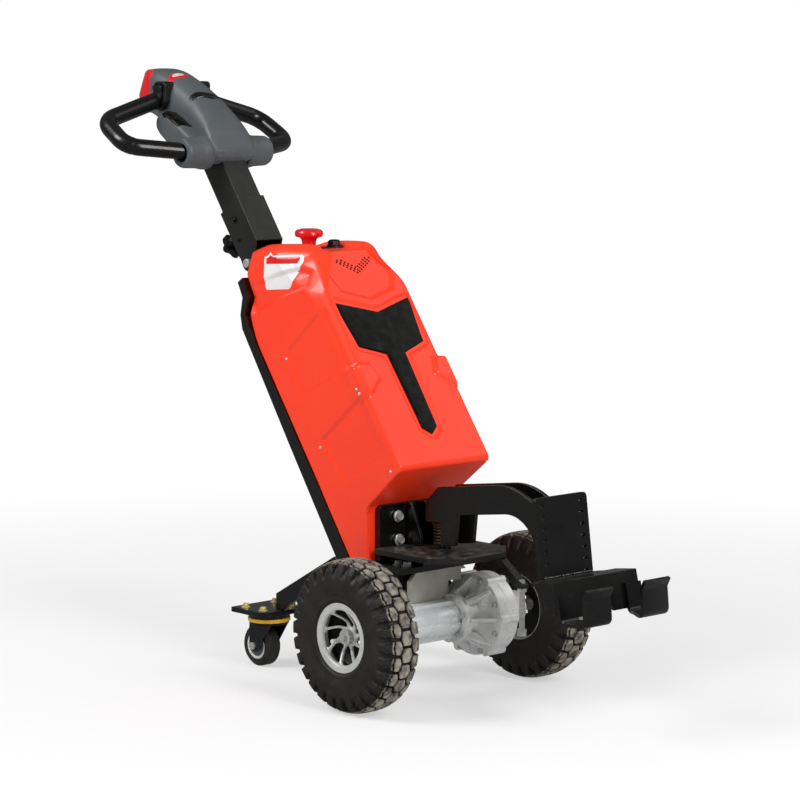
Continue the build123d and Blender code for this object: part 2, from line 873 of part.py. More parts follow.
# Red housing: leaning outline, narrower towards its back, open for the battery
housing_outline = body_points(housing_outline_share)
corner_at = {row[0]: point for row, point in zip(housing_outline_share, housing_outline)}
crest_x = on_body(corner_at["top back"][0], 0, corner_at["top back"][1])[0]
top_front_z = on_body(corner_at["top front"][0], 0, corner_at["top front"][1])[2]
valley_back = crest_x + valley_back_in
valley_floor = top_front_z - valley_depth
estop_x = valley_back + estop_in
socket_x = valley_back + socket_in
lower_front_half = body_front_half - lower_chamfer_d
flank_run = body_front_n - lower_chamfer_len - body_back_n
with BuildPart() as housing:
    with BuildSketch(body_plane):
        Polygon(*housing_outline, align=None)
        fillet(vertices().sort_by_distance(corner_at["underside back"])[0], radius=underside_round)
        fillet(vertices().sort_by_distance(corner_at["top front"])[0], radius=top_front_round)
    extrude(amount=body_front_half + overrun, both=True)
    with BuildSketch(body_section(0, 0)):
        Polygon(
            (body_back_n - overrun, -body_back_half),
            (body_front_n - lower_chamfer_len, -body_front_half),
            (body_front_n, -lower_front_half),
            (body_front_n + overrun, -lower_front_half),
            (body_front_n + overrun, lower_front_half),
            (body_front_n, lower_front_half),
            (body_front_n - lower_chamfer_len, body_front_half),
            (body_back_n - overrun, body_back_half),
            align=None,
        )
    extrude(amount=body_reach, mode=Mode.INTERSECT)
    # Upper front corners, cut back more and more towards the shoulders
    for _, side in sides:
        for _, share, length, depth in shoulder_cut:
            with BuildSketch(body_section(0, body_foot_s + body_height * share)):
                Polygon(
                    (body_front_n - length, side * body_front_half),
                    (body_front_n, side * (body_front_half - depth)),
                    (body_front_n + overrun, side * (body_front_half - depth)),
                    (body_front_n + overrun, side * (body_front_half + overrun)),
                    (body_front_n - length, side * (body_front_half + overrun)),
                    align=None,
                )
        loft(ruled=True, mode=Mode.SUBTRACT)
    # Rounded tops of both shoulders
    with BuildSketch(Plane.YZ.offset(-body_reach)):
        Polygon(
            (-body_front_half, 0),
            (body_front_half, 0),
            (body_front_half, top_front_z),
            (-body_front_half, top_front_z),
            align=None,
        )
        fillet(vertices().group_by(Axis.Y)[-1], radius=shoulder_round)
    extrude(amount=2 * body_reach, mode=Mode.INTERSECT)
    # Panels and facet on both flanks
    for _, side in sides:
        flank = Plane(
            origin=on_body(body_back_n, side * body_back_half, 0),
            x_dir=on_body(flank_run, side * (body_front_half - body_back_half), 0),
            z_dir=on_body(-(body_front_half - body_back_half), side * flank_run, 0),
        )
        for table, depth in [(flank_panel_share[0], panel_depth), (flank_panel_share[1], panel_depth),
                             (flank_facet_share, facet_depth)]:
            with BuildSketch(flank):
                Polygon(
                    *turned([(body_depth * a, -side * (body_foot_s + body_height * b)) for _, a, b in table], -side),
                    align=None,
                )
            extrude(amount=-depth, taper=panel_taper, mode=Mode.SUBTRACT)
    # The base plate and the bracket it stands on
    with BuildSketch(Plane.XY.offset(base_top + seat_gap)):
        Rectangle(body_reach, body_reach)
    extrude(amount=-body_reach, mode=Mode.SUBTRACT)
    with BuildSketch(side_plane):
        Polygon(
            (bracket_x - seat_gap, base_low),
            (bracket_x + body_reach, base_low),
            (bracket_x + body_reach, bracket_top + seat_gap),
            (bracket_x - seat_gap, bracket_top + seat_gap),
            align=None,
        )
    extrude(amount=body_reach, both=True, mode=Mode.SUBTRACT)
    # Central valley between the shoulders
    with BuildSketch(Plane.XY.offset(valley_floor)):
        Polygon(
            (valley_back, -valley_half),
            (valley_back + body_depth, -valley_half),
            (valley_back + body_depth, valley_half),
            (valley_back, valley_half),
            align=None,
        )
    extrude(amount=body_depth, mode=Mode.SUBTRACT)
    # Seat of the tiller's stub behind the shoulders
    with BuildSketch(body_section(stub_n + stub_depth / 2, body_foot_s + body_height * stub_seat_share)):
        Rectangle(stub_depth + 2 * seat_gap, 2 * (stub_half + seat_gap))
    extrude(amount=body_height, mode=Mode.SUBTRACT)
    # Raised straps on the front corners
    for _, side in sides:
        with BuildSketch(body_face(body_front_n)):
            Polygon(
                *turned([(side * body_front_half * a, body_foot_s + body_height * b) for _, a, b in strap_share], side),
                align=None,
            )
        extrude(amount=strap_out, taper=strap_taper)
    # Recess of the inlay and of the vent
    inlay_low = body_foot_s + inlay_rise
    inlay_points = [(inlay_half * a, inlay_low + inlay_height * b) for _, a, b in inlay_share]
    inlay_mirror = [(-y, s) for y, s in reversed(inlay_points[1:-1])]
    with BuildSketch(body_face(body_front_n)):
        Polygon(*inlay_points, *inlay_mirror, align=None)
    extrude(amount=-inlay_t, mode=Mode.SUBTRACT)
    vent_points = [(vent_half * a, body_foot_s + body_height * b) for _, a, b in vent_share]
    vent_mirror = [(-y, s) for y, s in reversed(vent_points[1:])]
    with BuildSketch(body_face(body_front_n)):
        Polygon(*vent_points, *vent_mirror, align=None)
    extrude(amount=-vent_depth, taper=vent_taper, mode=Mode.SUBTRACT)
    # Space of the battery
    with BuildSketch(body_section(battery_n + battery_depth / 2, battery_s)):
        Rectangle(battery_depth + 2 * seat_gap, 2 * (battery_half + seat_gap))
    extrude(amount=battery_height + seat_gap, mode=Mode.SUBTRACT)
keep(housing.part, "housing")

with BuildPart() as battery:
    with BuildSketch(body_section(battery_n + battery_depth / 2, battery_s)):
        Rectangle(battery_depth, 2 * battery_half)
    extrude(amount=battery_height)
keep(battery.part, "battery_block")

with BuildPart() as inlay:
    with BuildSketch(body_face(body_front_n - inlay_t)):
        Polygon(*inlay_points, *inlay_mirror, align=None)
        offset(amount=-seat_gap, mode=Mode.REPLACE)
    extrude(amount=inlay_t + inlay_proud)
keep(inlay.part, "housing_inlay")

# Black frame band that follows the housing's back and neck
band_outer = body_points(band_outline_share)
crown_s = band_outer[-1][1]
with BuildPart() as band:
    with BuildSketch(body_plane):
        Polygon(
            *band_outer,
            (body_back_n + body_depth / 2, crown_s),
            (body_back_n + body_depth / 2, band_outer[0][1]),
            align=None,
        )
        with BuildSketch(body_plane, mode=Mode.PRIVATE) as housing_shape:
            Polygon(*housing_outline, align=None)
            offset(amount=seat_gap, mode=Mode.REPLACE)
        add(housing_shape.sketch_local, mode=Mode.SUBTRACT)
        Polygon(
            (body_back_n, band_outer[0][1] - overrun),
            (body_front_n, band_outer[0][1] - overrun),
            (body_front_n, housing_outline[1][1]),
            (body_back_n, housing_outline[1][1]),
            align=None,
            mode=Mode.SUBTRACT,
        )
    extrude(amount=band_half, both=True)
keep(band.part, "back_frame")

# Emergency stop mushroom and the small socket on the valley's floor
with BuildPart() as estop:
    with BuildSketch(Plane(origin=(estop_x, 0, valley_floor), x_dir=(1, 0, 0), z_dir=(0, -1, 0))):
        Polygon(
            (0, 0),
            (estop_stem_dia / 2, 0),
            (estop_stem_dia / 2, estop_stem_h),
            (estop_cap_dia / 2, estop_stem_h),
            (estop_cap_dia / 2, estop_stem_h + estop_cap_t / 2),
            (estop_cap_dia / 3, estop_stem_h + estop_cap_t),
            (0, estop_stem_h + estop_cap_t),
            align=None,
        )
    revolve(axis=Axis((estop_x, 0, 0), (0, 0, 1)))
keep(estop.part, "estop_button")

with BuildPart() as socket:
    with BuildSketch(Plane.XY.offset(valley_floor)):
        with Locations((socket_x, socket_y)):
            Circle(socket_dia / 2)
    extrude(amount=socket_h)
    fillet(faces().sort_by(Axis.Z)[-1].edges(), radius=socket_dia / 8)
keep(socket.part, "top_socket")

# Stub of the tiller with its tongue
with BuildPart() as stub:
    with BuildSketch(body_section(stub_n + stub_depth / 2, crown_s)):
        Rectangle(stub_depth, 2 * stub_half)
        fillet(vertices(), radius=plate_round)
    extrude(amount=stub_base_top - crown_s)
    with BuildSketch(body_plane):
        Polygon(
            (tongue_n, stub_base_top - overrun),
            (tongue_n + tongue_depth, stub_base_top - overrun),
            (tongue_n + tongue_depth, tongue_top),
            (tongue_n, tongue_top),
            align=None,
        )
        tongue_corners = vertices().group_by(Axis.Y)[-1]
        fillet(tongue_corners, radius=tongue_round)
    extrude(amount=tongue_half, both=True)
    with BuildSketch(body_plane):
        with Locations((fold_n, fold_s)):
            Circle(fold_pin_dia / 2 + running_gap)
    extrude(amount=sleeve_size, both=True, mode=Mode.SUBTRACT)
keep(stub.part, "tiller_stub")

# Square sleeve that folds on the stub, with its two cheeks
with BuildPart() as sleeve:
    with BuildSketch(body_section(tiller_n, sleeve_low)):
        Rectangle(sleeve_size, sleeve_size)
        fillet(vertices(), radius=plate_round)
        Rectangle(sleeve_size - 2 * sleeve_wall, sleeve_size - 2 * sleeve_wall, mode=Mode.SUBTRACT)
    extrude(amount=sleeve_high - sleeve_low)
    for _, side in sides:
        with BuildSketch(body_plane.offset(-side * sleeve_size / 2)):
            Polygon(
                (tiller_n - sleeve_size / 2 + plate_round, sleeve_low + overrun),
                (tiller_n - sleeve_size / 2 + plate_round, sleeve_low),
                (fold_n - cheek_round, fold_s),
                (fold_n + cheek_round * lean_sin, fold_s - cheek_round * lean_cos),
                (tiller_n + sleeve_size / 2 - plate_round, sleeve_low),
                (tiller_n + sleeve_size / 2 - plate_round, sleeve_low + overrun),
                align=None,
            )
            with Locations((fold_n, fold_s)):
                Circle(cheek_round)
                Circle(fold_pin_dia / 2 + running_gap, mode=Mode.SUBTRACT)
        extrude(amount=side * sleeve_wall)
    with BuildSketch(body_face(tiller_n - sleeve_size / 2 + overrun, knob_s)):
        Circle(knob_stem_dia / 2 + seat_gap)
    extrude(amount=-(knob_yoke_len + 2 * overrun), mode=Mode.SUBTRACT)
keep(sleeve.part, "tiller_sleeve")

with BuildPart() as fold_pin:
    with BuildSketch(body_plane.offset(sleeve_size / 2 + fold_head_t)):
        with Locations((fold_n, fold_s)):
            Circle(fold_head_dia / 2)
    extrude(amount=-fold_head_t)
    with BuildSketch(body_plane.offset(sleeve_size / 2)):
        with Locations((fold_n, fold_s)):
            Circle(fold_pin_dia / 2)
    extrude(amount=-sleeve_size)
    with BuildSketch(body_plane.offset(-sleeve_size / 2)):
        with Locations((fold_n, fold_s)):
            RegularPolygon(fold_head_dia / 2, 6)
    extrude(amount=-fold_head_t)
keep(fold_pin.part, "tiller_fold_pin")

# Star knob behind the sleeve, its stem pressing on the tube
knob_back = tiller_n - sleeve_size / 2
with BuildPart() as knob:
    with BuildSketch(body_face(knob_back, knob_s)):
        Rectangle(knob_yoke, knob_yoke)
        fillet(vertices(), radius=plate_round)
    extrude(amount=-knob_yoke_len)
    with BuildSketch(body_face(tiller_n - tube_size / 2 - seat_gap, knob_s)):
        Circle(knob_stem_dia / 2)
    extrude(amount=-(sleeve_wall + knob_yoke_len + knob_gap + overrun))
    with BuildSketch(body_face(knob_back - knob_yoke_len - knob_gap, knob_s)):
        Circle(knob_dia / 2 - knob_lobe_dia / 3)
        with PolarLocations(knob_dia / 2 - knob_lobe_dia / 2, knob_lobes):
            Circle(knob_lobe_dia / 2)
    extrude(amount=-knob_t)
keep(knob.part, "tiller_star_knob")

# Square tube that slides in the sleeve
with BuildPart() as tube:
    with BuildSketch(body_section(tiller_n, tube_low)):
        Rectangle(tube_size, tube_size)
        fillet(vertices(), radius=plate_round)
        Rectangle(tube_size - 2 * tube_wall, tube_size - 2 * tube_wall, mode=Mode.SUBTRACT)
    extrude(amount=tube_high - tube_low)
keep(tube.part, "tiller_tube")

# Control head: middle body, side wings and their cuts
with BuildPart() as head:
    with BuildSketch(side_plane):
        Polygon(*head_points(head_share), align=None)
    extrude(amount=head_half, both=True)
    with BuildSketch(side_plane):
        Polygon(*head_points(wing_share), align=None)
        fillet(vertices(), radius=wing_round)
    extrude(amount=wing_half, both=True)
    with BuildSketch(body_section(tiller_n, tube_low)):
        Rectangle(tube_size + 2 * seat_gap, tube_size + 2 * seat_gap)
    extrude(amount=tube_high + seat_gap - tube_low, mode=Mode.SUBTRACT)
    for _, side in sides:
        with BuildSketch(across(collar_x, side * (collar_inner - seat_gap), collar_z, side)):
            Circle(collar_dia / 2 + seat_gap)
        extrude(amount=collar_outer, mode=Mode.SUBTRACT)
        with BuildSketch(across(thumb_x, side * (thumb_inner - seat_gap), thumb_z, side)):
            Circle(thumb_dia / 2 + thumb_gap)
        extrude(amount=collar_outer, mode=Mode.SUBTRACT)
        with BuildSketch(side_plane.offset(-side * wing_half)):
            Polygon(*head_points(side_panel_share), align=None)
            fillet(vertices(), radius=plate_round)
        extrude(amount=side * side_panel_t, mode=Mode.SUBTRACT)
keep(head.part, "head_shell")

with BuildPart() as side_panel:
    for _, side in sides:
        with BuildSketch(side_plane.offset(-side * (wing_half - side_panel_t))):
            Polygon(*head_points(side_panel_share), align=None)
            fillet(vertices(), radius=plate_round)
            offset(amount=-seat_gap, mode=Mode.REPLACE)
        extrude(amount=-side * side_panel_t)
keep(side_panel.part, "head_side_panels")

with BuildPart() as belly:
    with BuildSketch(side_plane):
        Polygon(*head_points(button_share), align=None)
        offset(amount=-seat_gap, mode=Mode.REPLACE)
    extrude(amount=button_half, both=True)
keep(belly.part, "belly_button")

with BuildPart() as thumb:
    for _, side in sides:
        with BuildSketch(across(thumb_x, side * thumb_inner, thumb_z, side)):
            Circle(thumb_dia / 2)
        extrude(amount=thumb_w)
keep(thumb.part, "thumb_wheels")

# D-shaped handles from the collars round to the wings
with BuildPart() as handles:
    for _, side in sides:
        route = [(tube_end_x + x, side * y, tube_end_z + z) for _, x, y, z in handle_route]
        with BuildLine() as path:
            FilletPolyline(*route, radius=handle_bend_r)
        with BuildSketch(Plane(origin=path.line @ 0, z_dir=path.line % 0)):
            Circle(handle_dia / 2)
        sweep(path=path.line)
    with BuildSketch(Plane.YZ.offset(collar_x - collar_dia)):
        with Locations((0, collar_z)):
            Rectangle(2 * (wing_half + seat_gap), 2 * body_depth)
    extrude(amount=-body_depth, mode=Mode.SUBTRACT)
    for _, side in sides:
        with BuildSketch(across(collar_x, side * collar_inner, collar_z, side)):
            Circle(collar_dia / 2)
        extrude(amount=collar_outer - collar_inner)
keep(handles.part, "handle_loops")

# Rear swivel wheels: carrier with its strut, race, ring, fork, pin and wheel
carrier_top = carrier_low + carrier_t
ring_top = carrier_low - race_t - seat_gap
fork_top = ring_top - ring_t - seat_gap
fork_low = fork_top - fork_top_t
wheel_x = caster_x - caster_trail
wheel_z = caster_wheel_dia / 2
strut_rise = strut_h / cos(radians(strut_slope))
strut_end_x = lean_x(band_outer[1][0] - seat_gap, deck_low)
for name, side in sides:
    king_y = side * caster_y
    with BuildPart() as carrier:
        with BuildSketch(Plane.XY.offset(carrier_low)):
            with Locations((caster_x, king_y)):
                Rectangle(carrier_len, carrier_w)
            chamfer(vertices().group_by(Axis.X)[-1], length=carrier_corner)
        extrude(amount=carrier_t)
        run = strut_end_x - strut_foot_x
        with BuildSketch(side_plane.offset(-side * strut_y)):
            Polygon(
                (strut_foot_x, carrier_top - overrun),
                (strut_foot_x + overrun, carrier_top - overrun),
                (strut_foot_x + run + strut_h, carrier_top + tan(radians(strut_slope)) * (run + strut_h)),
                (strut_foot_x + run, carrier_top + tan(radians(strut_slope)) * run + strut_rise),
                (strut_foot_x, carrier_top + strut_rise),
                align=None,
            )
        extrude(amount=strut_t / 2, both=True)
        with BuildSketch(body_plane):
            Polygon(
                (band_outer[0][0] - seat_gap, 0),
                (body_front_n, 0),
                (body_front_n, body_foot_s + body_height),
                (band_outer[1][0] - seat_gap, band_outer[1][1]),
                align=None,
            )
        extrude(amount=body_depth, both=True, mode=Mode.SUBTRACT)
    keep(carrier.part, f"caster_carrier_{name}")

    with BuildPart() as race:
        with BuildSketch(Plane.XY.offset(carrier_low)):
            with Locations((caster_x, king_y)):
                Circle(race_dia / 2)
                Circle(kingpin_dia / 2 + running_gap, mode=Mode.SUBTRACT)
        extrude(amount=-race_t)
    keep(race.part, f"caster_race_{name}")

    with BuildPart() as ring:
        with BuildSketch(Plane.XY.offset(ring_top)):
            with Locations((caster_x, king_y)):
                Circle(ring_dia / 2)
                Circle(kingpin_dia / 2 + running_gap, mode=Mode.SUBTRACT)
        extrude(amount=-ring_t)
    keep(ring.part, f"caster_ring_{name}")

    with BuildPart() as fork:
        with BuildSketch(Plane.XY.offset(fork_low)):
            with Locations((caster_x, king_y)):
                Circle(fork_top_dia / 2)
        extrude(amount=fork_top_t)
        with BuildSketch(Plane.XY.offset(fork_low)):
            with Locations((caster_x, king_y)):
                Circle(kingpin_dia / 2)
        extrude(amount=carrier_low - seat_gap - fork_low)
        for leg in (-1, 1):
            with BuildSketch(side_plane.offset(-king_y - leg * fork_gap / 2)):
                Polygon(
                    (caster_x + fork_leg_top, fork_top),
                    (wheel_x + fork_leg_toe, wheel_z - fork_leg_toe),
                    (wheel_x - fork_leg_toe, wheel_z - fork_leg_toe),
                    (caster_x - fork_leg_top, fork_top),
                    align=None,
                )
                fillet(vertices().group_by(Axis.Y)[0], radius=fork_toe_r)
                with Locations((wheel_x, wheel_z)):
                    Circle(caster_pin_dia / 2 + running_gap, mode=Mode.SUBTRACT)
            extrude(amount=-leg * fork_leg_t)
    keep(fork.part, f"caster_fork_{name}")

    pin_half = fork_gap / 2 + fork_leg_t
    with BuildPart() as pin:
        with BuildSketch(across(wheel_x, king_y - pin_half, wheel_z, 1)):
            Circle(caster_pin_dia / 2)
        extrude(amount=2 * pin_half)
        for end in (-1, 1):
            with BuildSketch(across(wheel_x, king_y + end * pin_half, wheel_z, end)):
                RegularPolygon(caster_pin_head_dia / 2, 6)
            extrude(amount=caster_pin_head_t)
    keep(pin.part, f"caster_pin_{name}")

    with BuildPart() as caster_tyre:
        with BuildSketch(wheel_plane(wheel_x, king_y, wheel_z, side)):
            Polygon(
                (-caster_wheel_w / 2, caster_hub_dia / 2),
                (-caster_wheel_w / 2, wheel_z),
                (caster_wheel_w / 2, wheel_z),
                (caster_wheel_w / 2, caster_hub_dia / 2),
                align=None,
            )
            chamfer(vertices().group_by(Axis.Y)[-1], length=caster_wheel_round)
        revolve(axis=Axis((wheel_x, king_y, wheel_z), (0, 1, 0)))
    keep(caster_tyre.part, f"caster_tyre_{name}")

    with BuildPart() as caster_hub:
        with BuildSketch(across(wheel_x, king_y - side * caster_hub_w / 2, wheel_z, side)):
            Circle(caster_hub_dia / 2)
            Circle(caster_pin_dia / 2 + running_gap, mode=Mode.SUBTRACT)
        extrude(amount=caster_hub_w)
    keep(caster_hub.part, f"caster_hub_{name}")

# Tow arm: two bent cheeks
with BuildPart() as arm:
    with BuildSketch(arm_plane):
        with BuildLine():
            top_flat = Line((arm_shoulder_u, arm_top_v), (arm_bend_u, arm_top_v))
            top_bend = JernArc(top_flat @ 1, top_flat % 1, arm_bend_r, -arm_bend_turn)
            slope_u = hitch_u - (top_bend @ 1).X
            slope_end = (hitch_u, (top_bend @ 1).Y - slope_u * tan(radians(arm_bend_turn)))
            under_flat = Line((leg_front_top, arm_low_v), (arm_under_u, arm_low_v))
            under_r = arm_low_v + leg_foot_v
            under_bend = JernArc(under_flat @ 1, under_flat % 1, under_r, -90)
            Line(top_bend @ 1, slope_end)
            Polyline(
                slope_end,
                (hitch_u, bar_top_v),
                (arm_under_foot, bar_top_v),
                under_bend @ 1,
            )
            Polyline(
                under_flat @ 0,
                (leg_front_low, leg_foot_v - arm_edge_r),
                (leg_back_low, leg_foot_v - arm_edge_r),
                (leg_back_top, arm_heel_v),
                (arm_heel_u, arm_heel_v),
                (arm_back_u, arm_back_v),
                top_flat @ 0,
            )
        make_face()
    extrude(amount=arm_half, both=True)
    with BuildSketch(arm_plane):
        Rectangle(2 * body_reach, 2 * body_reach)
    extrude(amount=arm_half - cheek_t, both=True, mode=Mode.SUBTRACT)
keep(arm.part, "arm_cheeks")

# Sleeve between the cheeks that turns on the post
with BuildPart() as pivot:
    with BuildSketch(Plane.XY.offset(pivot_step)):
        Circle(pivot_dia / 2)
        Rectangle(pivot_dia, 2 * (arm_half - cheek_t), mode=Mode.INTERSECT)
    extrude(amount=pivot_top - pivot_step)
    with BuildSketch(Plane.XY.offset(pivot_foot)):
        Circle(pivot_neck_dia / 2)
    extrude(amount=pivot_step - pivot_foot)
    with BuildSketch(Plane.XY.offset(pivot_foot)):
        Circle(post_dia / 2 + running_gap)
    extrude(amount=pivot_top - pivot_foot, mode=Mode.SUBTRACT)
keep(pivot.part, "arm_pivot_sleeve")

# Coil spring round the sleeve's neck, its coils touching
spring_low = deck_top + moving_gap
coil_pitch = (pivot_step - seat_gap - spring_low) / spring_turns
coil_mid = (spring_in_r + spring_out_r) / 2
coil_half = (spring_out_r - spring_in_r) / 2
with BuildPart() as spring:
    with BuildSketch(side_plane):
        with Locations((coil_mid, (spring_low + pivot_step - seat_gap) / 2)):
            Rectangle((spring_out_r - spring_in_r) / 2, pivot_step - seat_gap - spring_low)
        for coil in range(spring_turns):
            with Locations((coil_mid, spring_low + (coil + 0.5) * coil_pitch)):
                Polygon(
                    (-coil_half, -coil_pitch / 4),
                    (0, -coil_pitch / 2),
                    (coil_half, -coil_pitch / 4),
                    (coil_half, coil_pitch / 4),
                    (0, coil_pitch / 2),
                    (-coil_half, coil_pitch / 4),
                    align=None,
                )
    revolve(axis=Axis.Z)
keep(spring.part, "arm_spring")

# Hitch plate with two columns of holes
hitch_low_v = bar_top_v - bar_t
with BuildPart() as hitch:
    with BuildSketch(arm_face(hitch_u)):
        with Locations((0, (hitch_top_v + hitch_low_v) / 2)):
            Rectangle(2 * hitch_half, hitch_top_v - hitch_low_v)
        fillet(vertices().group_by(Axis.Y)[-1], radius=hitch_corner)
        for row in range(hitch_hole_rows):
            with Locations((0, hitch_hole_top - row * hitch_hole_pitch)):
                with GridLocations(2 * hitch_hole_y, 0, 2, 1):
                    Circle(hitch_hole_dia / 2, mode=Mode.SUBTRACT)
    extrude(amount=hitch_t)
keep(hitch.part, "hitch_plate")

# Bent cross bar below the hitch plate, with end gussets
bar_back = hitch_u + hitch_t
with BuildPart() as bar:
    with BuildSketch(arm_plane):
        Polygon(
            (bar_back, bar_top_v),
            (bar_front_u, bar_top_v),
            (bar_toe_u, bar_low_v),
            (bar_toe_u - bar_t, bar_low_v),
            (bar_front_u - bar_t, bar_top_v - bar_t),
            (bar_back, bar_top_v - bar_t),
            align=None,
        )
    extrude(amount=bar_half, both=True)
    for _, side in sides:
        with BuildSketch(arm_level(bar_back, bar_top_v + overrun)):
            Polygon(
                (-overrun, side * (bar_neck_half + overrun)),
                (bar_ear_u - bar_back, side * (bar_neck_half + bar_ear_u - bar_back)),
                (bar_ear_u - bar_back, side * (bar_half + overrun)),
                (-overrun, side * (bar_half + overrun)),
                align=None,
            )
        extrude(amount=-(2 * overrun + bar_t), mode=Mode.SUBTRACT)
        with BuildSketch(arm_plane.offset(-side * bar_half)):
            Polygon(
                (bar_ear_u, bar_top_v),
                (bar_front_u, bar_top_v),
                (bar_toe_u, bar_low_v),
                (gusset_low_u, gusset_low_v),
                align=None,
            )
        extrude(amount=side * bar_t)
    with BuildSketch(arm_face(bar_front_u - overrun)):
        Polygon(
            (-bar_arch_half, bar_low_v - overrun),
            (bar_arch_half, bar_low_v - overrun),
            (bar_arch_half - bar_arch_h / 2, bar_low_v + bar_arch_h),
            (bar_arch_h / 2 - bar_arch_half, bar_low_v + bar_arch_h),
            align=None,
        )
    extrude(amount=bar_ear_u, both=True, mode=Mode.SUBTRACT)
keep(bar.part, "tow_bar")

# Two open channel hooks in front of the bar
hook_back_u = bar_toe_u + seat_gap
with BuildPart() as hooks:
    for _, side in sides:
        with BuildSketch(arm_plane.offset(-side * hook_outer)):
            Polygon(
                (hook_back_u - bar_t, bar_low_v - seat_gap),
                (hook_back_u - bar_t, bar_low_v - seat_gap - hook_t),
                (hook_front_u, hook_low_v),
                (hook_front_u + hook_t / 4, hook_high_v),
                (hook_lip_u, hook_lip_v),
                (hook_lip_u - hook_t, hook_lip_v),
                (hook_front_u - hook_t, hook_high_v),
                (hook_front_u - hook_t, hook_low_v + hook_t),
                (hook_back_u, bar_low_v - seat_gap),
                align=None,
            )
            low_bend = vertices().filter_by(lambda p: p.X > hook_front_u - hook_t - overrun
                                            and p.Y < hook_low_v + hook_t + overrun)
            fillet(low_bend, radius=hook_round / 2)
        extrude(amount=side * (hook_outer - hook_inner_front))
        with BuildSketch(arm_level(hook_back_u, bar_low_v)):
            Polygon(
                (-2 * bar_t, 0),
                (-2 * bar_t, side * hook_inner_back),
                (0, side * hook_inner_back),
                (hook_front_u - hook_back_u, side * hook_inner_front),
                (hook_front_u - hook_back_u, 0),
                align=None,
            )
        extrude(amount=hook_lip_u, both=True, mode=Mode.SUBTRACT)
keep(hooks.part, "tow_hooks")

# Set the machine's middle above the origin and write every piece
low_x = min(piece.bounding_box().min.X for piece in pieces)
high_x = max(piece.bounding_box().max.X for piece in pieces)
shift = Location((-(low_x + high_x) / 2, 0, 0))
for piece in pieces:
    placed = piece.moved(shift)
    placed.label = piece.label
    export_step(placed, f"parts/{piece.label}.step")
print(len(pieces), "pieces, shifted by", round(-(low_x + high_x) / 2, 3))
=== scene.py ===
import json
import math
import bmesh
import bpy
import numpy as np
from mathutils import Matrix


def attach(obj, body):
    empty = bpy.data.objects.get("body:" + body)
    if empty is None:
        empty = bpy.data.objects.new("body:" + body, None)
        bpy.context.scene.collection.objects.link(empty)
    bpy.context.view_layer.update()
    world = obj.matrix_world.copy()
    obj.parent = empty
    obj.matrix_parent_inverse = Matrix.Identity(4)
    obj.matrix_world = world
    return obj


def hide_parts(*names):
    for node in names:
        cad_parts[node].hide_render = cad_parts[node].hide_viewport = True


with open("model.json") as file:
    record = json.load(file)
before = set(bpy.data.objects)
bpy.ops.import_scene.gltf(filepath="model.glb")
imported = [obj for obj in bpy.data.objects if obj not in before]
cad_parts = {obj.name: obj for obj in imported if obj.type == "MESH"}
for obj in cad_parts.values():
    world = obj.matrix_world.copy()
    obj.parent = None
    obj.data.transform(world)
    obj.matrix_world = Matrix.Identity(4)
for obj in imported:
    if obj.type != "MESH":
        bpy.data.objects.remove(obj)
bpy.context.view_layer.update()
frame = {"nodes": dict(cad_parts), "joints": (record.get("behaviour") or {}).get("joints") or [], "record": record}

# %% [markdown]
# # Dressing a walk-behind electric tug
# The imported frame is the tug's exact skeleton: wheels, gearbox, leaning red
# housing, folding tiller and swinging tow arm. This notebook gives it skin and
# finish. A piece whose frame shape is right keeps it and gets softened edges
# and a material. A piece with moulded, cast or woven form is worked out here as
# a numpy surface and stands for its node.

MM = 0.001
SIDES = ((-1, "right"), (1, "left"))
nodes = frame["nodes"]
joint_at = {joint["name"]: joint for joint in frame["joints"]}
axle_x, _, axle_z = joint_at["wheel_spin_right"]["pos_m"]
wheel_y = joint_at["wheel_spin_left"]["pos_m"][1]
under_axle = np.array([axle_x, 0.0, 0.0])
AXLE_HEIGHT = axle_z / MM
WHEEL_OUT = wheel_y / MM
BODY_LEAN = math.radians(35)
ARM_PITCH = math.radians(7.5)
DECK_TOP = 253.0
body_of_node = {n: body for body, members in frame["record"]["behaviour"]["bodies"].items() for n in members}
print("axle at x", round(axle_x, 4), "z", axle_z, "wheels at y", wheel_y, "nodes", len(nodes))

# %% [markdown]
# ## Camera
# The photograph was taken from the front right corner, a little above the
# wheels, with a long lens. A camera can be placed by eye or worked out from
# known edges. Its azimuth and height angle were fitted to both tyres and the
# head, so it is set here by those angles, the distance and the aimed point.

# %% Camera at the photograph's viewing angle
VIEW_AZIMUTH = math.radians(47.4)
VIEW_HEIGHT = math.radians(6.9)
VIEW_DISTANCE = 4.945
AIM_BEHIND_AXLE = 0.1135
AIM_HEIGHT = 0.4973
LENS_MM = 129.06
SENSOR_MM = 36.0


def camera_at_angle(azimuth, height, distance, aim):
    """Camera = aim + distance times the unit vector (sin a cos h, -cos a cos h, sin h), looking back along it."""
    back = np.array([
        math.sin(azimuth) * math.cos(height),
        -math.cos(azimuth) * math.cos(height),
        math.sin(height),
    ])
    data = bpy.data.cameras.new("view_camera")
    data.lens = LENS_MM
    data.sensor_width = SENSOR_MM
    data.clip_end = 60.0
    camera = bpy.data.objects.new("view_camera", data)
    camera.location = aim + distance * back
    camera.rotation_euler = (math.pi / 2 - height, 0.0, azimuth)
    bpy.context.scene.collection.objects.link(camera)
    return camera


aim_point = np.array([axle_x - AIM_BEHIND_AXLE, 0.0, AIM_HEIGHT])
bpy.context.scene.camera = camera_at_angle(VIEW_AZIMUTH, VIEW_HEIGHT, VIEW_DISTANCE, aim_point)
bpy.context.scene.view_settings.view_transform = "Standard"
print("camera stands at", [round(v, 3) for v in bpy.context.scene.camera.location])

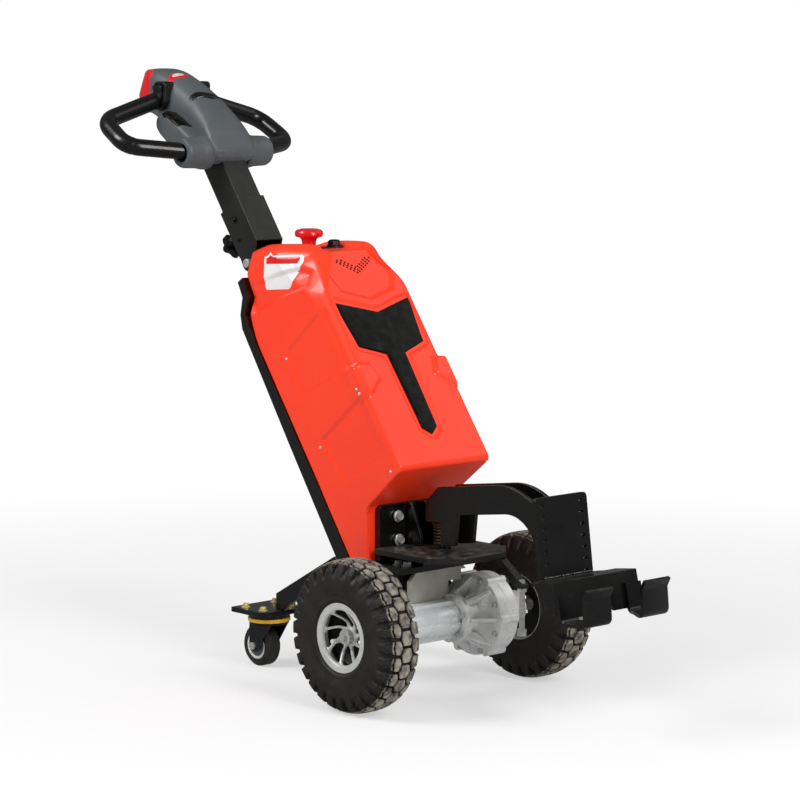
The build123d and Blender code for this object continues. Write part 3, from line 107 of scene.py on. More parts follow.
# %% [markdown]
# ## Shared helpers
# Every new piece is a grid of points worked out as whole arrays. Small helpers
# turn such grids into one closed or open mesh and put it into the scene. The
# last one copies a frame node, joins its loose triangles, and lets a Bevel
# modifier round the edges that a press or saw would leave slightly soft. Rounded
# edges catch a thin highlight, which is what makes painted steel look real.


# %% Grids to meshes, and the piece's place on its body
def grid_quads(rows, cols, close_rows=False, close_cols=False):
    """Faces of a rows by cols grid: each cell joins (i, j), (i, j+1), (i+1, j+1) and (i+1, j)."""
    i = np.arange(rows if close_rows else rows - 1)
    j = np.arange(cols if close_cols else cols - 1)
    i, j = np.meshgrid(i, j, indexing="ij")
    i2 = (i + 1) % rows
    j2 = (j + 1) % cols
    quads = np.stack([i * cols + j, i * cols + j2, i2 * cols + j2, i2 * cols + j], axis=-1)
    return quads.reshape(-1, 4)


def join_parts(parts):
    """Stacks (points, faces) parts into one pair, each part's faces counted on from the points before it."""
    points = np.concatenate([np.asarray(p, float).reshape(-1, 3) for p, _ in parts])
    faces = []
    start = 0
    for p, f in parts:
        faces.extend((np.asarray(q) + start).tolist() for q in f)
        start += len(np.asarray(p).reshape(-1, 3))
    return points, faces


def to_frame(x, y, z):
    """Shared frame in metres of a place in mm from the floor point under the axle: each number times MM, plus it."""
    return np.stack(np.broadcast_arrays(x, y, z), axis=-1) * MM + under_axle


def column(values):
    """Numbers as a column, one for each row of a grid."""
    return np.asarray(values, float)[:, None]


def shrunk_rows(outline, shares):
    """Both coordinates of an outline on each row, times that row's share."""
    return column(shares) * outline[None, :, 0], column(shares) * outline[None, :, 1]


def node_box(name):
    """Lowest and highest corner of a frame node's mesh, in mm of the shared frame."""
    vertices = nodes[name].data.vertices
    spots = np.empty(3 * len(vertices), np.float32)
    vertices.foreach_get("co", spots)
    spots = spots.astype(float).reshape(-1, 3) / MM
    return spots.min(axis=0), spots.max(axis=0)


def put_piece(name, parts, finish, body, stands_for=None, smooth_angle=40, mend=True):
    """A mesh of (points, faces) parts in metres: merged, normals outward, smooth below an angle, on its body."""
    points, faces = join_parts(parts)
    mesh = bpy.data.meshes.new(name)
    mesh.from_pydata(points.tolist(), [], faces)
    mesh.validate()
    if mend:
        bm = bmesh.new()
        bm.from_mesh(mesh)
        bmesh.ops.remove_doubles(bm, verts=bm.verts, dist=1e-6)
        bmesh.ops.recalc_face_normals(bm, faces=bm.faces)
        bm.to_mesh(mesh)
        bm.free()
    mesh.shade_smooth()
    mesh.set_sharp_from_angle(angle=math.radians(smooth_angle))
    piece = bpy.data.objects.new(name, mesh)
    bpy.context.scene.collection.objects.link(piece)
    mesh.materials.append(finishes[finish])
    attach(piece, body)
    if stands_for:
        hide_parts(stands_for)
    return piece


def softened(node, finish, radius, slot=None):
    """A frame node's copy, its triangles joined into flats and its sharp edges rounded to a radius in mm."""
    mesh = nodes[node].data.copy()
    mesh.name = f"{node}_soft"
    bm = bmesh.new()
    bm.from_mesh(mesh)
    bmesh.ops.remove_doubles(bm, verts=bm.verts, dist=2e-6)
    bmesh.ops.dissolve_limit(bm, angle_limit=math.radians(0.5), verts=bm.verts, edges=bm.edges)
    bm.to_mesh(mesh)
    bm.free()
    mesh.materials.clear()
    mesh.materials.append(finishes[finish])
    mesh.shade_smooth()
    piece = bpy.data.objects.new(mesh.name, mesh)
    bpy.context.scene.collection.objects.link(piece)
    bevel = piece.modifiers.new("soft edges", "BEVEL")
    bevel.width = radius * MM
    bevel.segments = 2
    bevel.limit_method = "ANGLE"
    bevel.angle_limit = math.radians(32)
    bevel.use_clamp_overlap = True
    flat = piece.modifiers.new("flat faces stay flat", "WEIGHTED_NORMAL")
    flat.mode = "FACE_AREA_WITH_ANGLE"
    flat.weight = 60
    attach(piece, body_of_node[node])
    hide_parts(node)


print("helpers ready")

# %% [markdown]
# ## Shader groups
# Several finishes share an effect, so each effect is a node group with named
# inputs, built once: a fine grain for moulded plastic and paint, a cloudy
# mottling that shifts colour and gloss, and dust that settles on upward faces.
# A group only gives masks, colours and heights. The Principled BSDF stays in
# each material, where its plain numbers are set on its own sockets.


# %% Node group tools
def new_group(name, inputs, outputs):
    """An empty shader group with float or colour sockets, given as (name, kind, start value)."""
    group = bpy.data.node_groups.new(name, "ShaderNodeTree")
    for label, kind, start in inputs:
        socket = group.interface.new_socket(label, in_out="INPUT", socket_type=kind)
        socket.default_value = start
    for label, kind in outputs:
        group.interface.new_socket(label, in_out="OUTPUT", socket_type=kind)
    return group, group.nodes.new("NodeGroupInput"), group.nodes.new("NodeGroupOutput")


def noise(tree, scale, detail, coords, rough=0.5):
    """A 3D noise texture on given coordinates; scale may be a number or a socket."""
    node = tree.nodes.new("ShaderNodeTexNoise")
    node.inputs["Detail"].default_value = detail
    node.inputs["Roughness"].default_value = rough
    if isinstance(scale, (int, float)):
        node.inputs["Scale"].default_value = scale
    else:
        tree.links.new(scale, node.inputs["Scale"])
    tree.links.new(coords, node.inputs["Vector"])
    return node.outputs["Fac"]


def spread(tree, value, low, high, to_low=0.0, to_high=1.0):
    """A Map Range node that takes low..high to to_low..to_high, clamped."""
    node = tree.nodes.new("ShaderNodeMapRange")
    node.inputs["From Min"].default_value = low
    node.inputs["From Max"].default_value = high
    for label, end in (("To Min", to_low), ("To Max", to_high)):
        if isinstance(end, (int, float)):
            node.inputs[label].default_value = end
        else:
            tree.links.new(end, node.inputs[label])
    tree.links.new(value, node.inputs["Value"])
    return node.outputs["Result"]


def blend_colour(tree, mask, first, second):
    """A colour mix: first where the mask is 0, second where it is 1."""
    node = tree.nodes.new("ShaderNodeMix")
    node.data_type = "RGBA"
    for socket, value in ((node.inputs[6], first), (node.inputs[7], second)):
        if isinstance(value, (tuple, list)):
            socket.default_value = (*value[:3], 1.0)
        else:
            tree.links.new(value, socket)
    tree.links.new(mask, node.inputs[0])
    return node.outputs[2]


def arithmetic(tree, operation, first, second):
    """A Math node on two values, each a number or a socket."""
    node = tree.nodes.new("ShaderNodeMath")
    node.operation = operation
    for socket, value in ((node.inputs[0], first), (node.inputs[1], second)):
        if isinstance(value, (int, float)):
            socket.default_value = value
        else:
            tree.links.new(value, socket)
    return node.outputs[0]


# %% The shared effects: grain, mottle and settled dust
def build_grain_group():
    """Height = fine noise plus a little coarse waviness, as on moulded plastic or sprayed paint."""
    group, inside, out = new_group(
        "fine_grain",
        [("Scale", "NodeSocketFloat", 900.0), ("Waviness", "NodeSocketFloat", 0.3)],
        [("Height", "NodeSocketFloat")],
    )
    coords = group.nodes.new("ShaderNodeTexCoord").outputs["Object"]
    fine = noise(group, inside.outputs["Scale"], 2.0, coords)
    broad = noise(group, 28.0, 1.0, coords)
    wave = arithmetic(group, "MULTIPLY", broad, inside.outputs["Waviness"])
    group.links.new(arithmetic(group, "ADD", fine, wave), out.inputs["Height"])
    return group


def build_mottle_group():
    """Colour drifts between two given tones, and gloss between two values, with one cloudy noise."""
    group, inside, out = new_group(
        "cloudy_mottle",
        [
            ("Tone A", "NodeSocketColor", (0.5, 0.5, 0.5, 1.0)),
            ("Tone B", "NodeSocketColor", (0.4, 0.4, 0.4, 1.0)),
            ("Rough A", "NodeSocketFloat", 0.3),
            ("Rough B", "NodeSocketFloat", 0.45),
            ("Scale", "NodeSocketFloat", 14.0),
        ],
        [("Colour", "NodeSocketColor"), ("Roughness", "NodeSocketFloat")],
    )
    coords = group.nodes.new("ShaderNodeTexCoord").outputs["Object"]
    cloud = spread(group, noise(group, inside.outputs["Scale"], 5.0, coords, 0.6), 0.32, 0.68)
    colour = blend_colour(group, cloud, inside.outputs["Tone A"], inside.outputs["Tone B"])
    group.links.new(colour, out.inputs["Colour"])
    rough = spread(group, cloud, 0.0, 1.0, inside.outputs["Rough A"], inside.outputs["Rough B"])
    group.links.new(rough, out.inputs["Roughness"])
    return group


def build_dust_group():
    """Mask = how far a face looks up, times a patchy noise, times the given amount."""
    group, inside, out = new_group(
        "settled_dust",
        [("Amount", "NodeSocketFloat", 0.2), ("Scale", "NodeSocketFloat", 60.0)],
        [("Mask", "NodeSocketFloat")],
    )
    geometry = group.nodes.new("ShaderNodeNewGeometry")
    split = group.nodes.new("ShaderNodeSeparateXYZ")
    group.links.new(geometry.outputs["Normal"], split.inputs[0])
    upward = spread(group, split.outputs["Z"], 0.2, 1.0)
    coords = group.nodes.new("ShaderNodeTexCoord").outputs["Object"]
    patches = spread(group, noise(group, inside.outputs["Scale"], 6.0, coords, 0.65), 0.42, 0.7)
    mask = arithmetic(group, "MULTIPLY", upward, patches)
    group.links.new(arithmetic(group, "MULTIPLY", mask, inside.outputs["Amount"]), out.inputs["Mask"])
    return group


grain_group = build_grain_group()
mottle_group = build_mottle_group()
dust_group = build_dust_group()
print("shader groups:", [g.name for g in bpy.data.node_groups])

# %% [markdown]
# ## Finishes
# The housing is glossy red moulded plastic, the frame is black gloss paint over
# steel, the drive housing is bare cast aluminium, and the head is grained grey
# plastic. Each finish below is one Principled BSDF with two close tones that
# drift, a roughness that drifts with them, a grain height through a Bump node
# and a touch of dust on faces that look up.


# %% One maker for the plain finishes
def srgb(r, g, b):
    """Linear colour of a screen colour: ((c + 0.055) / 1.055) ** 2.4 above the dark foot, c / 12.92 below it."""
    channel = np.array([r, g, b], float) / 255.0
    linear = np.where(channel > 0.04045, ((channel + 0.055) / 1.055) ** 2.4, channel / 12.92)
    return tuple(float(v) for v in linear)


def place_group(tree, group, **values):
    """Adds a group node and sets its inputs, whose names are written with _ for spaces."""
    node = tree.nodes.new("ShaderNodeGroup")
    node.node_tree = group
    for label, value in values.items():
        socket = node.inputs[label.replace("_", " ")]
        socket.default_value = (*value[:3], 1.0) if isinstance(value, (tuple, list)) else value
    return node


def surface_finish(name, tone_a, tone_b, rough_a, rough_b, cloud=14.0, metallic=0.0, coat=0.0,
                   coat_rough=0.08, grain=900.0, waviness=0.3, depth=0.00002, dust=0.0,
                   dust_tone=(0.42, 0.38, 0.32), gloss=0.5):
    """Principled finish: mottled colour and roughness, a grain bump in metres, dust on upward faces."""
    material = bpy.data.materials.new(name)
    material.use_nodes = True
    tree = material.node_tree
    shader = tree.nodes["Principled BSDF"]
    shader.inputs["Metallic"].default_value = metallic
    shader.inputs["Coat Weight"].default_value = coat
    shader.inputs["Coat Roughness"].default_value = coat_rough
    shader.inputs["Specular IOR Level"].default_value = gloss
    mottle = place_group(tree, mottle_group, Tone_A=tone_a, Tone_B=tone_b, Rough_A=rough_a,
                         Rough_B=rough_b, Scale=cloud)
    colour = mottle.outputs["Colour"]
    if dust > 0:
        settled = place_group(tree, dust_group, Amount=dust, Scale=55.0)
        colour = blend_colour(tree, settled.outputs["Mask"], colour, dust_tone)
    tree.links.new(colour, shader.inputs["Base Color"])
    tree.links.new(mottle.outputs["Roughness"], shader.inputs["Roughness"])
    grains = place_group(tree, grain_group, Scale=grain, Waviness=waviness)
    bump = tree.nodes.new("ShaderNodeBump")
    bump.inputs["Strength"].default_value = 1.0
    bump.inputs["Distance"].default_value = depth
    tree.links.new(grains.outputs["Height"], bump.inputs["Height"])
    tree.links.new(bump.outputs["Normal"], shader.inputs["Normal"])
    return material


# %% The tug's finishes: slot, two tones, two roughnesses and what else differs
finish_table = {
    "red_moulding": ("housing_red", (255, 64, 30), (250, 56, 25), 0.3, 0.38, dict(
        cloud=5.0, gloss=0.4, coat=0.25, coat_rough=0.06, grain=420.0, waviness=1.4, depth=3e-5)),
    "stop_red": ("stop_red", (226, 20, 30), (205, 12, 22), 0.2, 0.3, dict(coat=0.5, depth=1e-5)),
    "inlay_black": ("gloss_black", (7, 8, 7), (10, 11, 9), 0.18, 0.22, dict(cloud=9.0, gloss=0.1, dust=0.05)),
    "frame_black": ("frame_black", (7, 8, 7), (12, 13, 11), 0.24, 0.36, dict(
        cloud=18.0, coat=0.3, coat_rough=0.12, grain=520.0, waviness=1.2, depth=4e-5, dust=0.1)),
    "tube_black": ("frame_black", (19, 21, 15), (25, 27, 20), 0.42, 0.52, dict(
        cloud=12.0, gloss=0.6, coat=0.1, coat_rough=0.2, grain=700.0, waviness=0.8, depth=4e-5, dust=0.05)),
    "plate_black": ("frame_black", (17, 18, 16), (30, 30, 27), 0.34, 0.55, dict(
        cloud=26.0, gloss=0.4, coat=0.2, coat_rough=0.2, grain=360.0, waviness=1.0, depth=6e-5, dust=0.25)),
    "motor_black": ("motor_black", (16, 17, 17), (24, 24, 24), 0.4, 0.55, dict(gloss=0.4, depth=5e-5)),
    "cast_alloy": ("cast_aluminium", (250, 250, 249), (226, 227, 226), 0.26, 0.4, dict(
        cloud=60.0, metallic=0.4, grain=650.0, waviness=1.5, depth=12e-5, dust=0.08)),
    "drawn_alloy": ("cast_aluminium", (246, 247, 248), (226, 228, 229), 0.22, 0.34, dict(
        cloud=22.0, metallic=0.35, grain=420.0, waviness=0.5, depth=3e-5)),
    "bright_steel": ("bright_steel", (222, 222, 218), (185, 185, 180), 0.25, 0.4, dict(cloud=90.0, metallic=0.6)),
    "zinc_sheet": ("zinc_plate", (190, 188, 176), (172, 170, 158), 0.45, 0.6, dict(
        cloud=40.0, metallic=0.35, depth=3e-5)),
    "brown_spring": ("spring_steel", (92, 62, 44), (58, 44, 38), 0.35, 0.5, dict(
        cloud=80.0, metallic=0.7, depth=4e-5)),
    "gold_race": ("race_gold", (252, 200, 58), (236, 174, 38), 0.3, 0.42, dict(cloud=60.0, metallic=0.1)),
    "brass_bolt": ("race_gold", (232, 210, 150), (206, 182, 118), 0.3, 0.42, dict(cloud=80.0, metallic=0.5)),
    "rim_grey": ("rim_grey", (206, 208, 203), (186, 188, 184), 0.34, 0.46, dict(
        cloud=40.0, metallic=0.2, coat=0.2, grain=700.0, depth=5e-5, dust=0.15)),
    "caster_black": ("caster_rubber", (34, 33, 31), (46, 44, 42), 0.45, 0.6, dict(depth=4e-5)),
    "caster_white": ("caster_hub_white", (208, 208, 204), (188, 188, 184), 0.4, 0.5, dict(depth=4e-5)),
    "head_grey": ("head_grey", (86, 91, 93), (76, 81, 84), 0.42, 0.52, dict(
        cloud=9.0, coat=0.08, coat_rough=0.3, grain=1500.0, waviness=0.2, depth=5e-5)),
    "grip_black": ("handle_black", (9, 9, 9), (16, 16, 15), 0.24, 0.34, dict(
        gloss=0.4, coat=0.3, coat_rough=0.12, depth=3e-5)),
    "knob_black": ("handle_black", (9, 9, 9), (17, 17, 17), 0.34, 0.46, dict(gloss=0.4, depth=4e-5)),
    "label_white": ("caster_hub_white", (238, 238, 236), (226, 226, 226), 0.4, 0.5, dict(depth=1e-5)),
}
slot_of = {name: row[0] for name, row in finish_table.items()}
finishes = {
    name: surface_finish(name, srgb(*tone_a), srgb(*tone_b), rough_a, rough_b, **more)
    for name, (_, tone_a, tone_b, rough_a, rough_b, more) in finish_table.items()
}
print("finishes:", len(finishes))

# %% [markdown]
# ## Frame pieces that keep their shape
# Plates, struts, tubes and pins already have the right form in the frame. Each
# is copied, its edges are rounded a little, and it gets its finish. The
# radius is that of the real edge: about 1 mm on sawn plate and less on pins.

# %% Softened plates, tubes and pins: node, finish and edge radius in mm
soft_pieces = [
    ("back_frame", "frame_black", 2.5), ("base_plate", "frame_black", 0.8), ("mount_plate", "zinc_sheet", 0.6),
    ("body_bracket", "frame_black", 1.0), ("deck_plate", "plate_black", 1.0), ("deck_brace", "frame_black", 0.8),
    ("hanging_bolt", "bright_steel", 0.5), ("gearbox_housing", "cast_alloy", 1.2),
    ("axle_tube", "drawn_alloy", 1.0), ("drive_motor", "motor_black", 1.5), ("pivot_post", "frame_black", 0.8),
    ("tiller_stub", "frame_black", 1.0), ("tiller_sleeve", "tube_black", 0.8), ("tiller_tube", "tube_black", 0.6),
    ("tiller_fold_pin", "bright_steel", 0.5), ("arm_cheeks", "frame_black", 0.8),
    ("arm_pivot_sleeve", "frame_black", 0.8), ("hitch_plate", "frame_black", 0.6), ("tow_bar", "frame_black", 0.8),
]
for _, side_name in SIDES:
    soft_pieces += [
        (f"caster_carrier_{side_name}", "frame_black", 0.8), (f"caster_race_{side_name}", "frame_black", 0.6),
        (f"caster_ring_{side_name}", "gold_race", 1.0), (f"caster_fork_{side_name}", "frame_black", 0.6),
        (f"caster_pin_{side_name}", "bright_steel", 0.4), (f"caster_tyre_{side_name}", "caster_black", 0.8),
        (f"wheel_shaft_{side_name}", "bright_steel", 0.6),
    ]
    softened(f"caster_hub_{side_name}", "head_grey", 0.8, slot="caster_hub_white")
for soft_piece in soft_pieces:
    softened(*soft_piece)
nodes["battery_block"].data.materials.clear()
nodes["battery_block"].data.materials.append(finishes["motor_black"])
print("softened", len(soft_pieces) + len(SIDES), "pieces")

# %% [markdown]
# ## Surface tools for moulded skins
# Moulded parts are easiest as a grid whose points are moved by distances. A
# signed distance to a polygon says how far a point lies inside a recess, and a
# smooth step of that distance gives the recess its sloping wall. Outlines come
# as short corner lists, whose corners are then rounded to arcs.


# %% Distances, ramps and rounded outlines
def smooth(value, low, high):
    """3t^2 - 2t^3 with t = (value - low) / (high - low) held between 0 and 1."""
    t = np.clip((value - low) / (high - low), 0.0, 1.0)
    return t * t * (3 - 2 * t)


def inside_depth(x, y, corners):
    """Signed distance to a polygon, positive inside: nearest edge distance, its sign from the crossing rule."""
    p = np.stack([x, y], axis=-1)[..., None, :]
    a = np.asarray(corners, float)
    b = np.roll(a, -1, axis=0)
    edge = b - a
    t = np.clip(((p - a) * edge).sum(-1) / (edge * edge).sum(-1), 0.0, 1.0)
    near = np.linalg.norm(p - a - t[..., None] * edge, axis=-1).min(-1)
    crosses = (a[:, 1] > p[..., 1]) != (b[:, 1] > p[..., 1])
    rise = np.where(edge[:, 1] == 0, 1e-9, edge[:, 1])
    at = a[:, 0] + (p[..., 1] - a[:, 1]) / rise * edge[:, 0]
    inside = (crosses & (p[..., 0] < at)).sum(-1) % 2 == 1
    return np.where(inside, near, -near)


def rounded_outline(corners, radius, step, closed=True):
    """Corner list with each corner swapped for an arc tangent to both edges, then points at even steps along it."""
    p = np.asarray(corners, float)
    r = np.broadcast_to(np.asarray(radius, float), (len(p),))
    route = []
    for k in range(len(p)):
        if not closed and k in (0, len(p) - 1):
            route.append(p[k][None])
            continue
        to_last = p[k - 1] - p[k]
        to_next = p[(k + 1) % len(p)] - p[k]
        u = to_last / np.linalg.norm(to_last)
        v = to_next / np.linalg.norm(to_next)
        half = math.acos(np.clip(u @ v, -1, 1)) / 2
        if r[k] <= 0 or math.pi / 2 - half < 0.01:
            route.append(p[k][None])
            continue
        reach = min(r[k] / math.tan(half), 0.49 * np.linalg.norm(to_last), 0.49 * np.linalg.norm(to_next))
        size = reach * math.tan(half)
        centre = p[k] + (u + v) / np.linalg.norm(u + v) * size / math.sin(half)
        first = p[k] + u * reach - centre
        last = p[k] + v * reach - centre
        turn = math.atan2(first[0] * last[1] - first[1] * last[0], first @ last)
        angle = np.linspace(0, turn, 10)
        route.append(centre + np.stack([
            first[0] * np.cos(angle) - first[1] * np.sin(angle),
            first[0] * np.sin(angle) + first[1] * np.cos(angle),
        ], axis=-1))
    route = np.concatenate(route)
    if closed:
        route = np.concatenate([route, route[:1]])
    length = np.concatenate([[0], np.cumsum(np.linalg.norm(np.diff(route, axis=0), axis=1))])
    at = np.linspace(0, length[-1], max(int(length[-1] / step), 8))
    if closed:
        at = at[:-1]
    return np.stack([np.interp(at, length, route[:, 0]), np.interp(at, length, route[:, 1])], axis=-1)


def from_body(n, y, s):
    """Frame place in metres of a body point in mm: x = n cos a - s sin a, z = n sin a + s cos a, a the lean."""
    c, w = math.cos(BODY_LEAN), math.sin(BODY_LEAN)
    return to_frame(n * c - s * w, y, n * w + s * c)


def to_body(places):
    """Body (n, s) of places (x, z) in mm: n = x cos a + z sin a, s = z cos a - x sin a, a the lean."""
    c, w = math.cos(BODY_LEAN), math.sin(BODY_LEAN)
    x, z = np.asarray(places, float).T
    return np.stack([x * c + z * w, z * c - x * w], axis=-1)


print("surface tools ready")

# %% [markdown]
# ## The red housing
# The housing is rotomoulded plastic, so it has no sharp edge anywhere: soft
# shoulders, chamfered front corners, shallow panels and two strap bumps. It
# could be box modelled and subdivided. Here it is a stack of closed rows along
# the leaning body. Each row runs over the right flank, the front, the left
# flank and the back. The flank's half width and the front's depth are formulas
# of place, with each recess one more term.

# %% Outline and features of the housing in body millimetres
FRONT_N = 232.0
BACK_N = 18.0
FLANK_BACK, FLANK_FRONT = 95.0, 106.0
housing_back_line = [(55.5, 236.6), (18, 262.5), (18, 728.5), (21.4, 754.3), (49, 776.5), (55.2, 818.4),
                     (95.7, 842.2)]
housing_front_line = [(55.5, 236.6), (110.2, 315.0), (231.8, 324.4), (231.8, 768.9), (134.4, 830.0),
                      (95.7, 842.2)]
front_rounding = [0, 26, 9, 24, 60, 0]
back_rounding = [0, 3, 5, 4, 4, 6, 0]
flank_panels = [
    [(216, 652), (86, 643), (71, 556), (216, 534)],
    [(214, 478), (71, 471), (84, 382), (214, 366)],
]
shoulder_facet = [(44, 768), (36, 742), (117, 727), (198, 702), (212, 728), (190, 750), (120, 775), (70, 790)]
vent_corners = [(-77, 708), (-62, 669), (0, 650), (62, 669), (77, 708), (71, 772), (-71, 772)]
inlay_corners = [(0, 384), (17, 397), (21, 544), (75, 563), (87, 653), (0, 627), (-87, 653), (-75, 563),
                 (-21, 544), (-17, 397)]
strap_corners = [(130, 534), (74, 530), (61, 496), (97, 467), (130, 467)]
VALLEY_HALF, VALLEY_Z = 57.0, 748.0


# %% Formulas of the flank and of the front
def front_chamfer(n, s):
    """Inward step of the front corner: depth(s) times a smooth ramp over the last width(s) of the flank."""
    upper = smooth(s, 672, 752)
    lower = smooth(s, 540, 455)
    depth = 14 - 12.5 * lower + 25 * upper
    width = 31 - 4 * lower + 40 * upper
    ramp = np.clip((n - (FRONT_N - width)) / width, 0, 1)
    return depth * ramp * (0.7 + 0.3 * ramp)


def flank_half(n, s, edge):
    """Half width of the body at depth n and height s, edge being the distance in from the side outline."""
    width = FLANK_BACK + (FLANK_FRONT - FLANK_BACK) * np.clip((n - BACK_N) / (FRONT_N - 12 - BACK_N), 0, 1)
    strap = smooth(s, 464, 472) * smooth(s, 533, 523) * smooth(n, 196, 206)
    width = width - front_chamfer(n, s) * (1 - strap) + 2.2 * strap
    for panel in flank_panels:
        width = width - 3.4 * smooth(inside_depth(n, s, panel), -1.0, 4.5)
    facet = inside_depth(n, s, shoulder_facet)
    width = width - 8.5 * smooth(facet, -2, 8) * (1 - 0.75 * smooth(s, 735, 790))
    radius = 3.0 + 2.0 * smooth(s, 340, 420) + 21.0 * smooth(s, 680, 775)
    inward = np.clip(radius - edge, 0, radius)
    return width - (radius - np.sqrt(np.clip(radius ** 2 - inward ** 2, 0, None)))


def front_relief(y, s):
    """Forward shift of the front: minus the vent's and the inlay's recess, plus the strap's bump."""
    vent = 4.2 * smooth(inside_depth(y, s, vent_corners), 0, 8.5)
    seat = 3.4 * smooth(inside_depth(y, s, inlay_corners), -11.0, -6.5)
    strap = 7.0 * smooth(inside_depth(np.abs(y), s, strap_corners), -1.0, 7.0)
    crown = 1.5 * smooth(np.abs(y), 96, 40)
    return strap - vent - seat + crown * smooth(s, 350, 420) * smooth(s, 620, 560) * 0.5


# %% The housing's rows and its mesh
def housing_points(row_step=2.5, flank_count=54, front_count=84, back_count=12):
    """Rows at even steps up the front outline; each row lists flank, front, flank and back points of one height."""
    front = rounded_outline(housing_front_line, front_rounding, row_step, closed=False)
    back = rounded_outline(housing_back_line, back_rounding, row_step, closed=False)
    s = front[1:-1, 1][:, None]
    n_front = front[1:-1, 0][:, None]
    n_back = np.interp(s, back[:, 1], back[:, 0])
    outline = np.concatenate([front[::2], back[::-2]])
    u = np.linspace(0, 1, flank_count)
    t = 0.45 * u + 0.55 * (0.5 - 0.5 * np.cos(math.pi * u))
    n = n_back + (n_front - n_back) * t
    edge = np.maximum(inside_depth(n, s + 0 * n, outline), 0)
    half = flank_half(n, s + 0 * n, edge)
    across = np.linspace(-1, 1, front_count + 2)[1:-1]
    y_front = across * half[:, -1:]
    slope = np.gradient(front[:, 0], front[:, 1])[1:-1, None]
    facing = np.clip(1 - np.abs(slope) * 0.6, 0, 1) * smooth(s, 330, 345)
    n_face = n_front + front_relief(y_front, s + 0 * y_front) * facing
    y_back = np.linspace(1, -1, back_count + 2)[1:-1] * half[:, :1]
    rows_n = np.concatenate([n, n_face, n[:, ::-1], n_back + 0 * y_back], axis=1)
    rows_y = np.concatenate([-half, y_front, half[:, ::-1], y_back], axis=1)
    rows_s = s + 0 * rows_n
    points = from_body(rows_n, rows_y, rows_s)
    floor = VALLEY_Z + 30 * smooth(np.abs(rows_y), VALLEY_HALF - 7, VALLEY_HALF + 13)
    points[..., 2] = np.minimum(points[..., 2], floor * MM)
    return points


def closed_rows(points):
    """Faces of closed rows, with the first and the last row closed by a fan to its middle point."""
    rows, cols = points.shape[:2]
    faces = grid_quads(rows, cols, close_cols=True).tolist()
    flat = points.reshape(-1, 3)
    ends = np.stack([points[0].mean(0), points[-1].mean(0)])
    low, high = rows * cols, rows * cols + 1
    j = np.arange(cols)
    k = (j + 1) % cols
    faces += np.stack([k, j, np.full(cols, low)], axis=-1).tolist()
    faces += np.stack([j + (rows - 1) * cols, k + (rows - 1) * cols, np.full(cols, high)], axis=-1).tolist()
    return np.concatenate([flat, ends]), faces


skin = housing_points()
put_piece("housing_skin", [closed_rows(skin)], "red_moulding", "chassis", "housing", smooth_angle=50)
print("housing rows and columns", skin.shape[:2])

# %% [markdown]
# ## Drive tyres
# The tyres are pneumatic with a block tread: a zigzag row in the middle, a row
# of blocks on each side of it and lugs that wrap over the shoulders. Such a
# tyre could be an array of modelled blocks. Here the section is carried round
# the axle on a fine grid, and every point sinks by the groove depth where a
# pattern formula says groove. The same formula is kept as an attribute, so that
# the material can make the block tops alone pale.

# %% Tyre section and tread pattern
LUGS = 28
TYRE_RADIUS = 130.0
TREAD_DEPTH = 6.5
tyre_section = [(-33.5, 60.9), (-36.4, 64), (-36.0, 70), (-38.6, 84), (-39, 100), (-36.5, 114), (-30, 124.5),
                (-16, 129.2), (16, 129.2), (30, 124.5), (36.5, 114), (39, 100), (38.6, 84), (36.0, 70),
                (36.4, 64), (33.5, 60.9)]
tyre_rounding = [0, 1.5, 3, 30, 22, 20, 12, 60, 60, 12, 20, 22, 30, 3, 1.5, 0]


def zigzag(turn):
    """Triangle wave of the turn, 1 at whole numbers and -1 half way between them."""
    return 4 * np.abs(turn - np.floor(turn) - 0.5) - 1


def line_gap(turn, phase):
    """Distance in mm round the tread to the nearest groove line, which lies at the phase of each lug."""
    return np.abs((turn - phase) - np.round(turn - phase)) * 2 * math.pi * TYRE_RADIUS / LUGS


def tread_height(turn, across):
    """0 in a groove and 1 on a block: the smallest of smooth steps of the distance to each groove line."""
    side = np.abs(across)
    wave = zigzag(turn)
    ring = smooth(np.abs(side - (11.0 - 2.6 * wave)), 1.3, 2.3)
    outer_ring = smooth(np.abs(side - (25.0 + 1.6 * wave)), 0.8, 1.7)
    middle_cut = np.where(side < 11.0, smooth(line_gap(turn, 0.0), 1.6, 2.6), 1.0)
    flare = 1.7 + 0.1 * np.clip(side - 24, 0, 20)
    gap = line_gap(turn, 0.5)
    block_cut = np.where(side >= 11.0, smooth(gap - 0.05 * side, flare - 0.6, flare + 0.6), 1.0)
    sipe_gap = np.abs(gap - 7.2 - 1.2 * np.sign(np.sin(side * 1.6)))
    sipe = np.where((side > 30) & (side < 41), smooth(sipe_gap, 0.3, 0.9), 1.0)
    block = np.minimum(np.minimum(ring, outer_ring * 0.7 + 0.3), np.minimum(middle_cut, block_cut))
    return np.minimum(block, 0.45 + 0.55 * sipe)


